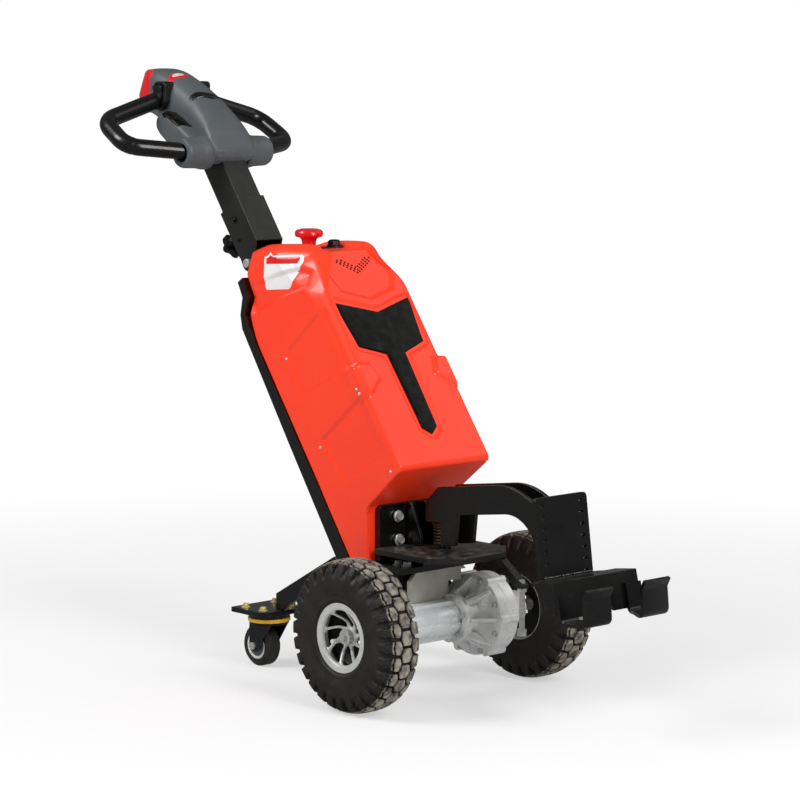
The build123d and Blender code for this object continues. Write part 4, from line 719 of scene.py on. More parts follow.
def tyre_mesh(side, turns=588, step=1.5):
    """Rows of the section carried round the axle: y = side * w, x and z from radius and angle, sunk in grooves."""
    line = rounded_outline(tyre_section, tyre_rounding, step, closed=False)
    tangent = np.gradient(line, axis=0)
    tangent /= np.linalg.norm(tangent, axis=1, keepdims=True)
    run = np.concatenate([[0], np.cumsum(np.linalg.norm(np.diff(line, axis=0), axis=1))])
    across = run - run[-1] / 2
    turn = np.arange(turns) * LUGS / turns
    height = tread_height(turn[:, None], across[None, :])
    depth = TREAD_DEPTH * (1 - height) * smooth(np.abs(across), 62, 38)
    w = line[None, :, 0] + tangent[None, :, 1] * depth
    r = line[None, :, 1] - tangent[None, :, 0] * depth
    angle = 2 * math.pi * np.arange(turns)[:, None] / turns
    points = np.stack([r * np.cos(angle), side * w + 0 * angle, r * np.sin(angle)], axis=-1) * MM
    inner = points[:, [0, -1]] * np.array([0.965, 1.0, 0.965])
    points = np.concatenate([inner[:, :1], points, inner[:, 1:]], axis=1)
    top = np.pad(height * smooth(np.abs(across), 36, 27)[None, :], ((0, 0), (1, 1)))
    return points + np.array([axle_x, side * wheel_y, axle_z]), top


def pale_block_top_finish():
    """Tyre rubber: dark brown-black, with a pale tone where block_top is 1, broken up by noise."""
    material = surface_finish("block_tyre", srgb(26, 23, 21), srgb(40, 35, 31), 0.5, 0.72, cloud=32.0,
                              grain=700.0, waviness=0.8, depth=12e-5)
    tree = material.node_tree
    shader = tree.nodes["Principled BSDF"]
    colour = shader.inputs["Base Color"].links[0].from_socket
    rough = shader.inputs["Roughness"].links[0].from_socket
    layer = tree.nodes.new("ShaderNodeAttribute")
    layer.attribute_name = "block_top"
    coords = tree.nodes.new("ShaderNodeTexCoord").outputs["Object"]
    # The block tops get a pale tone, broken up by noise, and the grooves keep the dark rubber tone.
    patch = spread(tree, noise(tree, 70.0, 4.0, coords, 0.6), 0.3, 0.62)
    pale_top_share = arithmetic(tree, "MULTIPLY", spread(tree, layer.outputs["Fac"], 0.55, 0.95), patch)
    pale_top_share = arithmetic(tree, "MULTIPLY", pale_top_share, 0.82)
    tree.links.new(blend_colour(tree, pale_top_share, colour, srgb(166, 158, 144)), shader.inputs["Base Color"])
    tree.links.new(spread(tree, pale_top_share, 0.0, 1.0, rough, 0.85), shader.inputs["Roughness"])
    return material


finishes["block_tyre"] = pale_block_top_finish()
slot_of["block_tyre"] = "tyre_rubber"
for side, name in SIDES:
    points, top = tyre_mesh(side)
    rows, cols = top.shape
    tyre = put_piece(f"tyre_{name}", [(points, grid_quads(rows, cols, close_rows=True, close_cols=True))],
                     "block_tyre", f"wheel_{name}", f"wheel_tyre_{name}", smooth_angle=48, mend=False)
    layer = tyre.data.attributes.new("block_top", "FLOAT", "POINT")
    layer.data.foreach_set("value", top.astype(np.float32).ravel())
    print("tyre", name, rows, "by", cols)

# %% [markdown]
# ## Spoked rims
# The rim is a casting with a broad satin ring, a dished centre and eight thin
# curved spokes, so the gaps between them look like petals. A casting could be
# cut out of a dish with booleans. Here the ring, the well and the hub are
# turned profiles, and each spoke is a strip swept from the hub to the ring that
# bends sideways and flares where it meets the ring.


# %% Turned profiles and bent spokes
def turned(profile, centre, side, count=128, rounding=0.0, step=1.5):
    """A closed ring mesh: profile points (outboard, radius) in mm turned about the crosswise axle."""
    line = rounded_outline(profile, rounding, step)
    angle = column(2 * math.pi * np.arange(count) / count)
    points = np.stack([line[:, 1] * np.cos(angle), side * line[:, 0] + 0 * angle, line[:, 1] * np.sin(angle)],
                      axis=-1) * MM + np.asarray(centre)
    return points, grid_quads(count, len(line), close_rows=True, close_cols=True)


def bent_spokes(centre, side, count=8, along=36, around=16):
    """Each spoke: radius from 15 to 51 mm, turned sideways by 30 degrees, a rounded strip that flares outward."""
    t = column(np.linspace(0, 1, along))
    radius = 15 + 36 * t
    swing = math.radians(30) * np.sin(math.pi * t * 0.5) ** 1.6
    outboard = 10.5 + 15.5 * smooth(t, 0.12, 0.98)
    half = 2.6 + 2.4 * smooth(t, 0.25, 0.0) + 9.5 * smooth(t, 0.70, 1.0) ** 2
    corner = 2 * math.pi * np.arange(around) / around
    flat = np.sign(np.cos(corner)) * np.abs(np.cos(corner)) ** 0.6
    rise = np.sign(np.sin(corner)) * np.abs(np.sin(corner)) ** 0.6
    start = 2 * math.pi * (np.arange(count)[:, None, None] + 0.15) / count
    angle = start + swing + half * flat / radius
    y = outboard + 2.6 * rise
    points = np.stack([radius * np.cos(angle), side * y + 0 * angle, radius * np.sin(angle)], axis=-1)
    stride = along * around
    starts = stride * np.arange(count)
    faces = (grid_quads(along, around, close_cols=True) + starts[:, None, None]).reshape(-1, 4)
    ends = np.concatenate([starts, starts + stride - around])
    caps = column(ends).astype(int) + np.arange(around)
    return points * MM + np.asarray(centre), faces.tolist() + caps.tolist()


rim_ring = [(27, 46), (31.5, 46.5), (33.0, 49), (33.4, 58.5), (33.0, 60.6), (-33.5, 60.6), (-33.5, 57), (10, 55),
            (20, 52)]
rim_well_painted_shade = [(20, 55.5), (4, 52), (-2, 40), (-5, 16), (-8, 16), (-8, 53), (18, 57)]
rim_hub = [(6, 10.5), (6, 17.5), (11.5, 17.5), (13.5, 16.5), (14.8, 14), (14.8, 10.5)]
for side, name in SIDES:
    centre = (axle_x, side * wheel_y, axle_z)
    parts = [turned(rim_ring, centre, side, rounding=1.2), turned(rim_hub, centre, side, rounding=0.8),
             bent_spokes(centre, side)]
    rim = put_piece(f"rim_{name}", parts, "rim_grey", f"wheel_{name}", f"wheel_rim_{name}", smooth_angle=50)
    # The well and its closed back are painted black: this is painted shade inside the rim, seen through the gaps
    # between the spokes.
    well = turned(rim_well_painted_shade, centre, side, rounding=1.5)
    put_piece(f"rim_well_painted_shade_{name}", [well], "motor_black", f"wheel_{name}")
    print("rim", name, len(rim.data.polygons), "faces")

# %% [markdown]
# ## Control head
# The head is a moulded cover: a domed crown that bows out towards its back, two
# wings that hold the handles, and a red safety button at the end. It could be
# sculpted. Here a short table lists stations along the head with their top,
# underside, half width and squareness. Each station is a superellipse, and a
# bow pulls its outer parts forward, so that the end is round in plan.


# %% Skins from station tables
def eased(values):
    """Running mean of five values, weighted 1 2 3 2 1, with the end values held beyond the ends."""
    return np.convolve(np.pad(values, 2, mode="edge"), np.array([1, 2, 3, 2, 1]) / 9, mode="valid")


def station_skin(table, fine=64, around=72, bow=0.0, bow_end=0.0, centre_y=0.0):
    """Superellipse sections y = w |cos|^(2/p), z = mid + h |sin|^(2/p); x gains bow * (y / 40)^2, fading forward."""
    table = np.asarray(table, float)
    t = np.linspace(0, len(table) - 1, fine)
    x, top, low, wide, power = (np.interp(t, np.arange(len(table)), values) for values in table.T)
    top, low, wide = eased(top), eased(low), eased(wide)
    angle = 2 * math.pi * np.arange(around) / around
    c, s = np.cos(angle), np.sin(angle)
    p = column(2 / power)
    y = column(wide) * np.sign(c) * np.abs(c) ** p
    z = column(top + low) / 2 + column(top - low) / 2 * np.sign(s) * np.abs(s) ** p
    fade = bow + (bow_end - bow) * smooth(x, x[0] + 5, x[0] + 110)
    return to_frame(column(x) + column(fade) * (y / 40) ** 2, y + centre_y, z)


# x, top, underside, half width and squareness in mm, from the back forward
button_table = [
    (-823, 1017, 1008, 24, 3.0), (-819, 1026, 995, 31, 3.4), (-812, 1041, 984, 36, 3.8),
    (-804, 1056, 982, 38, 4.2), (-797, 1061, 982, 38.5, 4.2), (-768, 1063, 976, 40, 3.6),
]
crown_table = [
    (-768, 1063.0, 976, 40, 3.6), (-750, 1062.5, 967, 41, 3.3), (-730, 1059, 948, 41.5, 3.1),
    (-707, 1052, 930, 42, 2.9), (-667, 1035, 908, 43, 2.8), (-628, 1012, 896, 44, 2.8),
    (-600, 988, 890, 46, 3.0), (-585, 972, 888, 48, 3.4), (-570, 952, 890, 49, 3.8),
    (-560, 934, 896, 48, 4.0), (-555, 921, 903, 45, 4.0),
]
wing_table = [
    (-703, 967, 959, 17, 3.0), (-699, 977, 948, 20, 3.4), (-690, 985, 940, 22, 4.0),
    (-675, 985, 930, 23, 4.4), (-650, 973, 912, 23, 4.6), (-625, 958, 900, 23, 4.6),
    (-600, 942, 890, 23, 4.4), (-580, 934, 889, 22, 4.0), (-570, 926, 896, 20, 3.4),
]
WING_OUT = 49.5
button = station_skin(button_table, fine=36, around=88, bow=38, bow_end=-5)
put_piece("end_button", [closed_rows(button)], "stop_red", "tiller_tube", "belly_button", smooth_angle=50)
collar = [(42, 31), (54, 31), (66, 28.6), (94, 27.5), (99, 25), (99, 17), (86, 16.5), (86, 1), (42, 1)]
collar_rounding = [1, 6, 12, 4, 2, 1, 0.5, 0, 0]
collar_at = (axle_x - 0.590, 0, 0.912)
parts = [closed_rows(station_skin(crown_table, fine=90, around=88, bow=12))]
for side, _ in SIDES:
    parts.append(closed_rows(station_skin(wing_table, fine=60, around=64, centre_y=side * WING_OUT)))
    parts.append(turned(collar, collar_at, side, count=72, rounding=collar_rounding))
cover = put_piece("head_cover", parts, "head_grey", "tiller_tube", "head_shell", smooth_angle=50)
print("head cover faces", len(cover.data.polygons))

# %% [markdown]
# ## What sits on the head
# Each wing has a black grip pad on its sloping top. A pod at each side carries a
# rocking thumb lever. The crown has a cross slot with a black bar, and a blank
# oval badge. Such parts could be projected with a shrinkwrap. Here a patch is an
# outline in plan whose rings shrink to the middle, and a surface function lays
# each ring on the skin below and lifts it a little.


# %% Patches laid on a skin
def draped(outline, surface, rise, edge=1.0, rounding=2.0, rings=10, step=1.2):
    """Rings of the outline shrunk to its middle; the surface maps each place and its lift, rise * (1 - share^8)."""
    rim = rounded_outline(outline, rounding, step)
    middle = rim.mean(0)
    share = np.concatenate([[1.0], np.linspace(1, 0.03, rings)])[:, None]
    flat = middle + (rim - middle)[None] * share[..., None]
    lift = rise * (1 - share ** 8) + 0 * flat[..., 0]
    lift[0] = -edge
    return closed_rows(surface(flat[..., 0], flat[..., 1], lift))


def on_skin(table, bow=0.0, bow_end=0.0, centre_y=0.0):
    """A surface for draped: height of a station skin over a plan place (x, y), the bow taken off x first."""
    table = np.asarray(table, float)

    def surface(x, y, lift):
        """z = mid + h (1 - |y/w|^p)^(1/p) + lift at the station under the place."""
        fade = bow + (bow_end - bow) * smooth(x, table[0, 0] + 5, table[0, 0] + 110)
        station = x - fade * (y / 40) ** 2
        top, low, wide, power = (np.interp(station, table[:, 0], table[:, k]) for k in range(1, 5))
        share = np.clip(np.abs((y - centre_y) / wide), 0, 0.995)
        z = (top + low) / 2 + (top - low) / 2 * (1 - share ** power) ** (1 / power)
        return to_frame(x, y, z + lift)

    return surface


def unit(v):
    """A vector scaled to length one."""
    return np.asarray(v, float) / np.linalg.norm(v)


on_crown = on_skin(crown_table, bow=12)
pod_face = rounded_outline([(-19, -24), (-14, 22), (-9, 25), (16, 25), (19, 20), (17, -12), (9, -24), (-6, -28)],
                           5, 1.5)
lever_face = rounded_outline([(-9, -15), (-12, 17), (12, 17), (9, -4), (4, -15)], 3, 1.0)
pads, pods, levers = [], [], []
for side, _ in SIDES:
    pad_line = [(-684, side * 71.6), (-634, side * 71.6), (-622, side * 45.5), (-672, side * 45.5)]
    pads.append(draped(pad_line, on_skin(wing_table, centre_y=side * WING_OUT), 1.2, edge=2.0))
    x, z = shrunk_rows(pod_face, [1.02, 1.02, 1.0, 0.97, 0.92, 0.82, 0.8, 0.4, 0.05])
    out = column([34, 44, 51, 53.2, 54, 54, 53.0, 52.4, 52.2])
    pods.append(closed_rows(to_frame(x - 712, side * out, z + 1014)))
    x, z = shrunk_rows(lever_face, [1.0, 1.0, 0.92, 0.8, 0.05])
    out = column([51, 55.5, 57.2, 57.6, 57.4]) + 0.18 * np.abs(z - 3)
    levers.append(closed_rows(to_frame(x - 713, side * out, z + 1015)))
put_piece("wing_pads", pads, "inlay_black", "tiller_tube", "head_side_panels")
put_piece("thumb_pods", pods, "knob_black", "tiller_tube", "thumb_wheels")
put_piece("thumb_levers", levers, "motor_black", "tiller_tube")
# The slot is a black leaf laid on the crown, not a recess: its black is painted shade inside the slot. The bar on it
# is a black part of its own.
slot_line = [(-648, -40), (-645, -20), (-640, 2), (-634, 26), (-626, 24), (-622, 2), (-628, -18), (-638, -36)]
put_piece("crown_slot", [draped(slot_line, on_crown, 0.7, rounding=4)], "knob_black", "tiller_tube")
bar_line = [(-640, -30), (-634, -8), (-629, 14), (-625, 22), (-624, 6), (-628, -14), (-634, -32)]
put_piece("crown_bar", [draped(bar_line, on_crown, 2.6, edge=0, rings=12)], "grip_black", "tiller_tube")
oval_turn = np.linspace(0, 2 * math.pi, 28, endpoint=False)
for name, size, rise, finish in (("badge_rim", 1.0, 0.9, "stop_red"), ("badge_face", 0.66, 1.3, "caster_white")):
    oval = np.stack([-706 + size * 10 * np.cos(oval_turn), -13 + size * 23 * np.sin(oval_turn)], axis=-1)
    put_piece(name, [draped(oval, on_crown, rise, rounding=0)], finish, "tiller_tube")
print("pads, pods, levers, slot, bar and badge on the head")

# %% [markdown]
# ## Handles
# Each handle is a bent steel tube dipped in black plastic. It leaves the grey
# collar, turns back round the hand and returns to the pod. It could be a curve
# with a bevel. Here the route is a rounded corner list, and a circle is carried
# along it: two directions square to the route span the circle at each point.


# %% Tubes along a route
def round_route(corners, radius, step):
    """Corner list in 3D with each corner swapped for an arc tangent to both legs, points at even steps."""
    p = np.asarray(corners, float)
    route = [p[:1]]
    for k in range(1, len(p) - 1):
        u, v = unit(p[k - 1] - p[k]), unit(p[k + 1] - p[k])
        half = math.acos(np.clip(u @ v, -1, 1)) / 2
        reach = min(radius / math.tan(half), 0.45 * np.linalg.norm(p[k - 1] - p[k]),
                    0.45 * np.linalg.norm(p[k + 1] - p[k]))
        a, b = p[k] + u * reach, p[k] + v * reach
        t = np.linspace(0, 1, 14)[:, None]
        weight = 2 * math.sin(half) * t * (1 - t)
        route.append(((1 - t) ** 2 * a + weight * p[k] + t ** 2 * b) / ((1 - t) ** 2 + weight + t ** 2))
    route.append(p[-1:])
    route = np.concatenate(route)
    run = np.concatenate([[0], np.cumsum(np.linalg.norm(np.diff(route, axis=0), axis=1))])
    at = np.linspace(0, run[-1], max(int(run[-1] / step), 4))
    return np.stack([np.interp(at, run, route[:, k]) for k in range(3)], axis=-1)


def tube_along(route, radius, around=28, up=(0, 0, 1)):
    """A circle of the given radius carried along the route; radius may be a list, one per route point."""
    tangent = np.gradient(route, axis=0)
    tangent /= np.linalg.norm(tangent, axis=1, keepdims=True)
    first = np.cross(tangent, np.asarray(up, float))
    first /= np.linalg.norm(first, axis=1, keepdims=True)
    second = np.cross(tangent, first)
    angle = 2 * math.pi * np.arange(around)[None, :, None] / around
    size = np.broadcast_to(np.asarray(radius, float), (len(route),))[:, None, None]
    return route[:, None] + size * (np.cos(angle) * first[:, None] + np.sin(angle) * second[:, None])


handle_parts = []
for side, _ in SIDES:
    corners = [(-591, side * 84, 914), (-634, side * 189, 925), (-708, side * 183, 968), (-722, side * 46, 1006)]
    route = round_route(corners, 36, 2.0)
    run = np.linspace(0, 1, len(route))
    radius = 15.4 + 0.5 * smooth(run, 0.30, 0.31) - 0.6 * np.exp(-((run - 0.305) / 0.004) ** 2)
    handle_parts.append(closed_rows(tube_along(route, radius) * MM + under_axle))
put_piece("handle_tubes", handle_parts, "grip_black", "tiller_tube", "handle_loops")
print("handles, route points in each", len(route))

# %% [markdown]
# ## Trim of the housing
# The front carries a glossy black inlay with a crease down its middle, and a V
# of small holes. A blank label with a red header sits on the right shoulder,
# and a few rivets hold the shell. They could be decals. Here each one is a
# patch in body millimetres, laid on the front or the flank by the formulas
# that shaped the housing, so it follows every recess.


# %% Inlay, vent holes and label
front_line = rounded_outline(housing_front_line, front_rounding, 2.5, closed=False)[1:-1]
back_line = rounded_outline(housing_back_line, back_rounding, 2.5, closed=False)
side_outline = np.concatenate([front_line[::2], back_line[::-2]])


def on_front(y, s, lift):
    """The front skin at (y, s), raised forward by lift."""
    n = np.interp(s, front_line[:, 1], front_line[:, 0])
    return from_body(n + front_relief(y, s) + lift, y, s)


def on_flank(side):
    """A surface for draped on one flank: (n, s) goes to y = side * (half width + lift)."""
    def surface(n, s, lift):
        """Half width of the flank there plus the lift, outward."""
        edge = np.maximum(inside_depth(n, s, side_outline), 0)
        return from_body(n, side * (flank_half(n, s, edge) + lift), s)
    return surface


def inlay_surface(y, s, lift):
    """A roof: highest along the middle line, falling by 0.028 of |y| over the wings and level below them."""
    return from_body(FRONT_N - 1.0 + lift - 0.028 * np.abs(y) * smooth(s, 540, 580), y, s)


inlay = draped(inlay_corners, inlay_surface, 1.4, edge=2.2, rounding=2.5, rings=30)
put_piece("inlay_plate", [inlay], "inlay_black", "chassis", "housing_inlay", smooth_angle=30)
HOLE_RADIUS, HOLE_PITCH, HOLE_ROW_STEP = 2.1, 6.2, 5.4
dot_turn = np.linspace(0, 5.6, 9)
# Each vent hole is a black disc laid just over the skin, not a hole: its black is painted shade inside the hole.
holes = []
for row in range(3):
    for place in np.arange(-39, 40, HOLE_PITCH) + HOLE_PITCH / 2 * (row % 2):
        height = 708.5 + 0.62 * abs(place) + HOLE_ROW_STEP * row
        if abs(place) < 42 and height < 739:
            dot = np.stack([place + HOLE_RADIUS * np.cos(dot_turn), height + HOLE_RADIUS * np.sin(dot_turn)], axis=-1)
            holes.append(draped(dot, on_front, 0.6, edge=0.5, rounding=0, rings=4, step=1.0))
put_piece("vent_holes", holes, "inlay_black", "chassis")
label_line = to_body([(-354, 737), (-345, 739), (-339, 746), (-332, 740), (-273, 744), (-268, 741), (-267, 732),
                      (-293, 686), (-298, 683), (-357, 678), (-360, 682)])
header_line = to_body([(-352, 735), (-345, 736.5), (-339, 742), (-332, 737.5), (-274, 741.5), (-270, 738),
                       (-272, 728), (-354, 723)])
for name, line, lift, finish in (("label_plate", label_line, 0.9, "label_white"),
                                 ("label_header", header_line, 1.15, "stop_red")):
    put_piece(name, [draped(line, on_flank(-1), lift, edge=0.4, rounding=2.5, rings=26)], finish, "chassis")
print("inlay, label and", len(holes), "vent holes")

# %% [markdown]
# ## Bolts and rivets
# Hex bolts hold the bracket, the gearbox, the tiller's sleeve and the swivel
# wheels, and rivets hold the housing. Each head is the same small grid, so many
# heads become one joined mesh for each body that carries them.


# %% Hex heads and rivets
def square_to(axis):
    """The axis at length one, and two more unit directions square to it and to each other."""
    axis = unit(axis)
    first = unit(np.cross(axis, (0.31, 0.95, 0.05) if abs(axis[1]) < 0.9 else (1, 0, 0)))
    return axis, first, np.cross(axis, first)


def hex_head(centre, axis, width, height, washer=0.0, count=36):
    """Rings along the axis: a round washer, a hexagon (radius w/2 over cos of the turn within 60 degrees), a chamfer."""
    axis, first, second = square_to(axis)
    angle = 2 * math.pi * np.arange(count) / count
    hexagon = width / 2 / np.cos((angle + math.pi / 6) % (math.pi / 3) - math.pi / 6)
    disc = np.full(count, max(washer, width * 0.55) / 2)
    inner = np.full(count, width / 2)
    rows = [(-1.0, disc), (1.3, disc), (1.6, disc * 0.96), (1.6, hexagon), (height * 0.82, hexagon),
            (height, np.minimum(hexagon, inner) * 0.94), (height, 0.7 * inner), (height - 0.5, 0.6 * inner)]
    points = np.stack([axis * at + first * column(r * np.cos(angle)) + second * column(r * np.sin(angle))
                       for at, r in rows])
    return closed_rows((points + np.asarray(centre, float)) * MM + under_axle)


def dome_head(centre, axis, radius, height):
    """A rivet: rings whose radius is r cos t and height h sin t."""
    axis, first, second = square_to(axis)
    angle = 2 * math.pi * np.arange(24)[None, :, None] / 24
    t = np.linspace(-0.3, 1.45, 8)[:, None, None]
    rows = axis * height * np.sin(t) + radius * np.cos(t) * (first * np.cos(angle) + second * np.sin(angle))
    return closed_rows((rows + np.asarray(centre, float)) * MM + under_axle)


rivets = []
for place in ((-300.4, 560.7), (-211.3, 413.5), (-22.3, 392.0), (-106, 524.4), (-98.4, 517.9)):
    n, s = to_body([place])[0]
    for side, _ in SIDES:
        at = (on_flank(side)(n, s, 0.0) - under_axle) / MM
        rivets.append(dome_head(at, (0, side, 0), 3.0, 1.8))
put_piece("housing_rivets", rivets, "bright_steel", "chassis")
bracket_bolts = [hex_head((-78, y, z), (1, 0, 0), 13, 8, washer=20)
                 for y, z in ((-37, 303), (37, 303), (-35, 262), (35, 262))]
bracket_bolts += [hex_head((x, y, 225), (0, 0, 1), 13, 8, washer=20) for x in (-52, -30) for y in (-60, 60)]
put_piece("bracket_bolts", bracket_bolts, "bright_steel", "chassis")
print("rivets", len(rivets), "bracket bolts", len(bracket_bolts))

# %% [markdown]
# ## Transaxle details
# The cast gearbox is held together by bolts round its split line, with ribs
# between them, and the axle tube is bolted on with a flange.

# %% Gearbox bolts, ribs and flange
RIBS = 8
FLANGE_BOLTS = 6
FLANGE_START = 2 * math.pi * 0.25 / FLANGE_BOLTS
rib_outline = rounded_outline([(20.5, 36), (20.5, 45), (31, 49), (48, 60), (61, 68), (61, 60), (48, 40), (34, 33)],
                              1.5, 1.5)
rib_middle = rib_outline.mean(0)
across, out = shrunk_rows(rib_outline - rib_middle, [0.02, 1, 1, 1, 1, 0.02])
across, out = across + rib_middle[0], out + rib_middle[1]
thick = column([-2.8, -2.8, -2.1, 2.1, 2.8, 2.8])
gear_bolts, gear_ribs = [], []
for angle in 2 * math.pi * (np.arange(RIBS) + 0.5) / RIBS:
    bolt_at = (64.5 * math.cos(angle), 62.5, AXLE_HEIGHT + 64.5 * math.sin(angle))
    gear_bolts.append(hex_head(bolt_at, (0, -1, 0), 8, 6, washer=12))
    c, s = math.cos(angle + math.pi / RIBS), math.sin(angle + math.pi / RIBS)
    gear_ribs.append(closed_rows(to_frame(out * c - thick * s, across, AXLE_HEIGHT + out * s + thick * c)))
for angle in 2 * math.pi * np.arange(FLANGE_BOLTS) / FLANGE_BOLTS + FLANGE_START:
    bolt_at = (35.5 * math.cos(angle), 11, AXLE_HEIGHT + 35.5 * math.sin(angle))
    gear_bolts.append(hex_head(bolt_at, (0, -1, 0), 8, 7))
put_piece("gearbox_ribs", gear_ribs, "cast_alloy", "chassis")
put_piece("gearbox_bolts", gear_bolts, "bright_steel", "chassis")
line = rounded_outline([(11, 30), (11, 41), (12, 42.5), (18, 42.5), (19.6, 41.5), (19.6, 30)], 0.8, 1.2)
angle = column(2 * math.pi * np.arange(96) / 96)
lobes = 1 + 0.035 * np.cos(FLANGE_BOLTS * (angle - FLANGE_START))
radius = np.where(line[:, 1] > 35, lobes, 1.0) * line[:, 1]
flange = to_frame(radius * np.cos(angle), line[:, 0], AXLE_HEIGHT + radius * np.sin(angle))
put_piece("tube_flange", [(flange, grid_quads(*radius.shape, close_rows=True, close_cols=True))], "cast_alloy",
          "chassis")
print("gearbox bolts", len(gear_bolts), "ribs", len(gear_ribs))

# %% [markdown]
# ## Spring, caps, star knob and wheel details
# The spring is a wire carried along a helix. The stop button and the socket's
# cap are profiles turned with lobes, and the star knob is a lobed ring in rows.
# The wheels get nuts and valves, and the swivel wheels get bolts and white bands.


# %% Spring, stop, socket cap, knob, nuts, valves, caster bolts and bands
def standing_at(node):
    """Place in mm under a node's middle, at its lowest height."""
    low, high = node_box(node)
    return np.append((low + high)[:2] / 2, low[2])


def lobed_cap(foot, profile, rounding, step, lobes, swell, count=72):
    """Profile (radius, height) turned about the upright line: radius times 1 + swell(height) * cos(lobes * turn)."""
    line = rounded_outline(profile, rounding, step, closed=False)
    angle = 2 * math.pi * np.arange(count) / count
    height = line[:, 1:]
    radius = line[:, :1] * (1 + swell(height) * np.cos(lobes * angle))
    rows = np.stack([radius * np.cos(angle), radius * np.sin(angle), height + 0 * angle], axis=-1)
    return closed_rows((rows + foot) * MM)


def stop_swell(height):
    """Shallow flutes of -0.035 that ramp in from 5 to 14 mm and out again from 21 to 27 mm."""
    return -0.035 * smooth(height, 5, 14) * smooth(height, 27, 21)


def socket_swell(height):
    """Lobes of 0.06 that ramp in from 4 to 6 mm."""
    return 0.06 * smooth(height, 4, 6)


def knob_rows(depths, ring, shares):
    """Closed rows at depths n of the body, each the ring (y, s) times its share, round the knob's place."""
    y, s = shrunk_rows(ring, shares)
    return closed_rows(from_body(column(depths), y, KNOB_S + s))


low, high = node_box("arm_spring")
SPRING_TURNS, COIL_RADIUS, WIRE_RADIUS = 7.0, 18.0, 2.5
t = np.linspace(0, 1, 560)
wind = 2 * math.pi * SPRING_TURNS * t
rise = np.clip((t - 0.07) / 0.86, 0, 1)
helix = np.stack([(low[0] + high[0]) / 2 + COIL_RADIUS * np.cos(wind),
                  (low[1] + high[1]) / 2 + COIL_RADIUS * np.sin(wind),
                  low[2] + 2.6 + rise * (high[2] - low[2] - 5.2)], axis=-1)
put_piece("spring_wire", [closed_rows(tube_along(helix, WIRE_RADIUS, around=14) * MM)], "brown_spring",
          body_of_node["arm_spring"], "arm_spring")

stop_profile = [(0.01, -3), (12.5, -3), (12.5, 9), (13.5, 15), (17, 18.5), (23.5, 20), (25.3, 23), (25.2, 28),
                (22.5, 32), (15, 34), (0.01, 34.6)]
stop = lobed_cap(standing_at("estop_button"), stop_profile, [0, 1, 3, 5, 3, 3, 2, 3, 4, 8, 0], 1.2, 8, stop_swell)
put_piece("stop_mushroom", [stop], "stop_red", "chassis", "estop_button")

socket_at = standing_at("top_socket")
socket_profile = [(0.01, -2), (14, -2), (14, 3.5), (11, 5), (10.5, 11), (8, 14), (0.01, 14.6)]
socket = lobed_cap(socket_at, socket_profile, [0, 1, 2, 1, 3, 3, 0], 1.0, 6, socket_swell)
strap_line = rounded_outline([(-9, -34), (9, -34), (11, 0), (9, 34), (-9, 34), (-11, 0)], 5, 2)
x, y = shrunk_rows(strap_line, [1.0, 1.0, 0.96, 0.05])
strap = np.stack([x, y, column([-1.0, 1.6, 2.2, 2.2]) + 0 * x], axis=-1) + (2, -14, 0)
put_piece("socket_cap", [socket, closed_rows((strap + socket_at) * MM)], "knob_black", "chassis", "top_socket")

KNOB_S = 930.0
knob_body = body_of_node["tiller_star_knob"]
turn = np.linspace(0, 2 * math.pi, 120, endpoint=False)
circle = np.stack([np.cos(turn), np.sin(turn)], axis=-1)
star = column(20.5 + 3.2 * np.cos(5 * (turn + 0.4))) * circle
knob = knob_rows([-24, -24, -28, -30, -41, -44, -44.5], star, [0.3, 0.62, 0.8, 1.0, 1.0, 0.9, 0.05])
stem_ring = rounded_outline([(-11, -11), (11, -11), (11, 11), (-11, 11)], 4, 1.5)
stem = knob_rows([-2, -14.0, -15, -15.2], stem_ring, [1, 1, 0.9, 0.1])
put_piece("star_knob", [knob, stem], "knob_black", knob_body, "tiller_star_knob")
put_piece("knob_shank", [knob_rows([-13, -25], circle, [5, 5])], "bright_steel", knob_body)
side_bolts = [hex_head((-521.7, -31, 793.2), (0, -1, 0), 10, 6), hex_head((-509.7, -31, 756), (0, -1, 0), 6, 3)]
put_piece("sleeve_bolts", side_bolts, "frame_black", knob_body)

valve_out = np.array([2.0, 12, 22, 26, 34])
for side, name in SIDES:
    nut = hex_head((0, side * (WHEEL_OUT + 15.5), AXLE_HEIGHT), (0, side, 0), 15, 9, washer=21)
    put_piece(f"hub_nut_{name}", [nut], "bright_steel", f"wheel_{name}")
    route = np.stack([0 * valve_out - 20, side * (WHEEL_OUT + valve_out),
                      AXLE_HEIGHT - 12 + 0.1 * valve_out], axis=-1)
    valve = tube_along(route, [3.0, 3.0, 3.0, 4.2, 3.8], around=16, up=(1, 0, 0))
    put_piece(f"valve_{name}", [closed_rows(valve * MM + under_axle)], "caster_white", f"wheel_{name}")

caster_bolts = [hex_head((x, side * y, 109), (0, 0, 1), 11, 7, washer=17)
                for side, _ in SIDES for x in (-396, -348) for y in (46, 114)]
put_piece("caster_plate_bolts", caster_bolts, "brass_bolt", "chassis")
white_band = [(-1.0, 19.5), (0.9, 19.5), (1.3, 20.3), (1.3, 24.0), (0.9, 24.7), (-1.0, 24.7)]
for _, name in SIDES:
    low, high = node_box(f"caster_hub_{name}")
    cheek = (high[1] - low[1]) / 2
    profile = [(cheek + y, r) for y, r in white_band]
    bands = [turned(profile, (low + high) / 2 * MM, way, count=72, rounding=0.3) for way, _ in SIDES]
    put_piece(f"caster_band_{name}", bands, "caster_white", body_of_node[f"caster_hub_{name}"])
print("spring, caps, knob, nuts, valves, caster bolts and white bands in place")

# %% [markdown]
# ## Hooks of the hitch
# The two hooks are bent from thick sheet: down the front of the cross bar,
# forward, up again and out into a lip. They could be a solidified strip. Here a
# route in the arm's own plane gets a rectangle across it, whose inner edge
# runs towards the middle, as the real blank is cut on a slant.


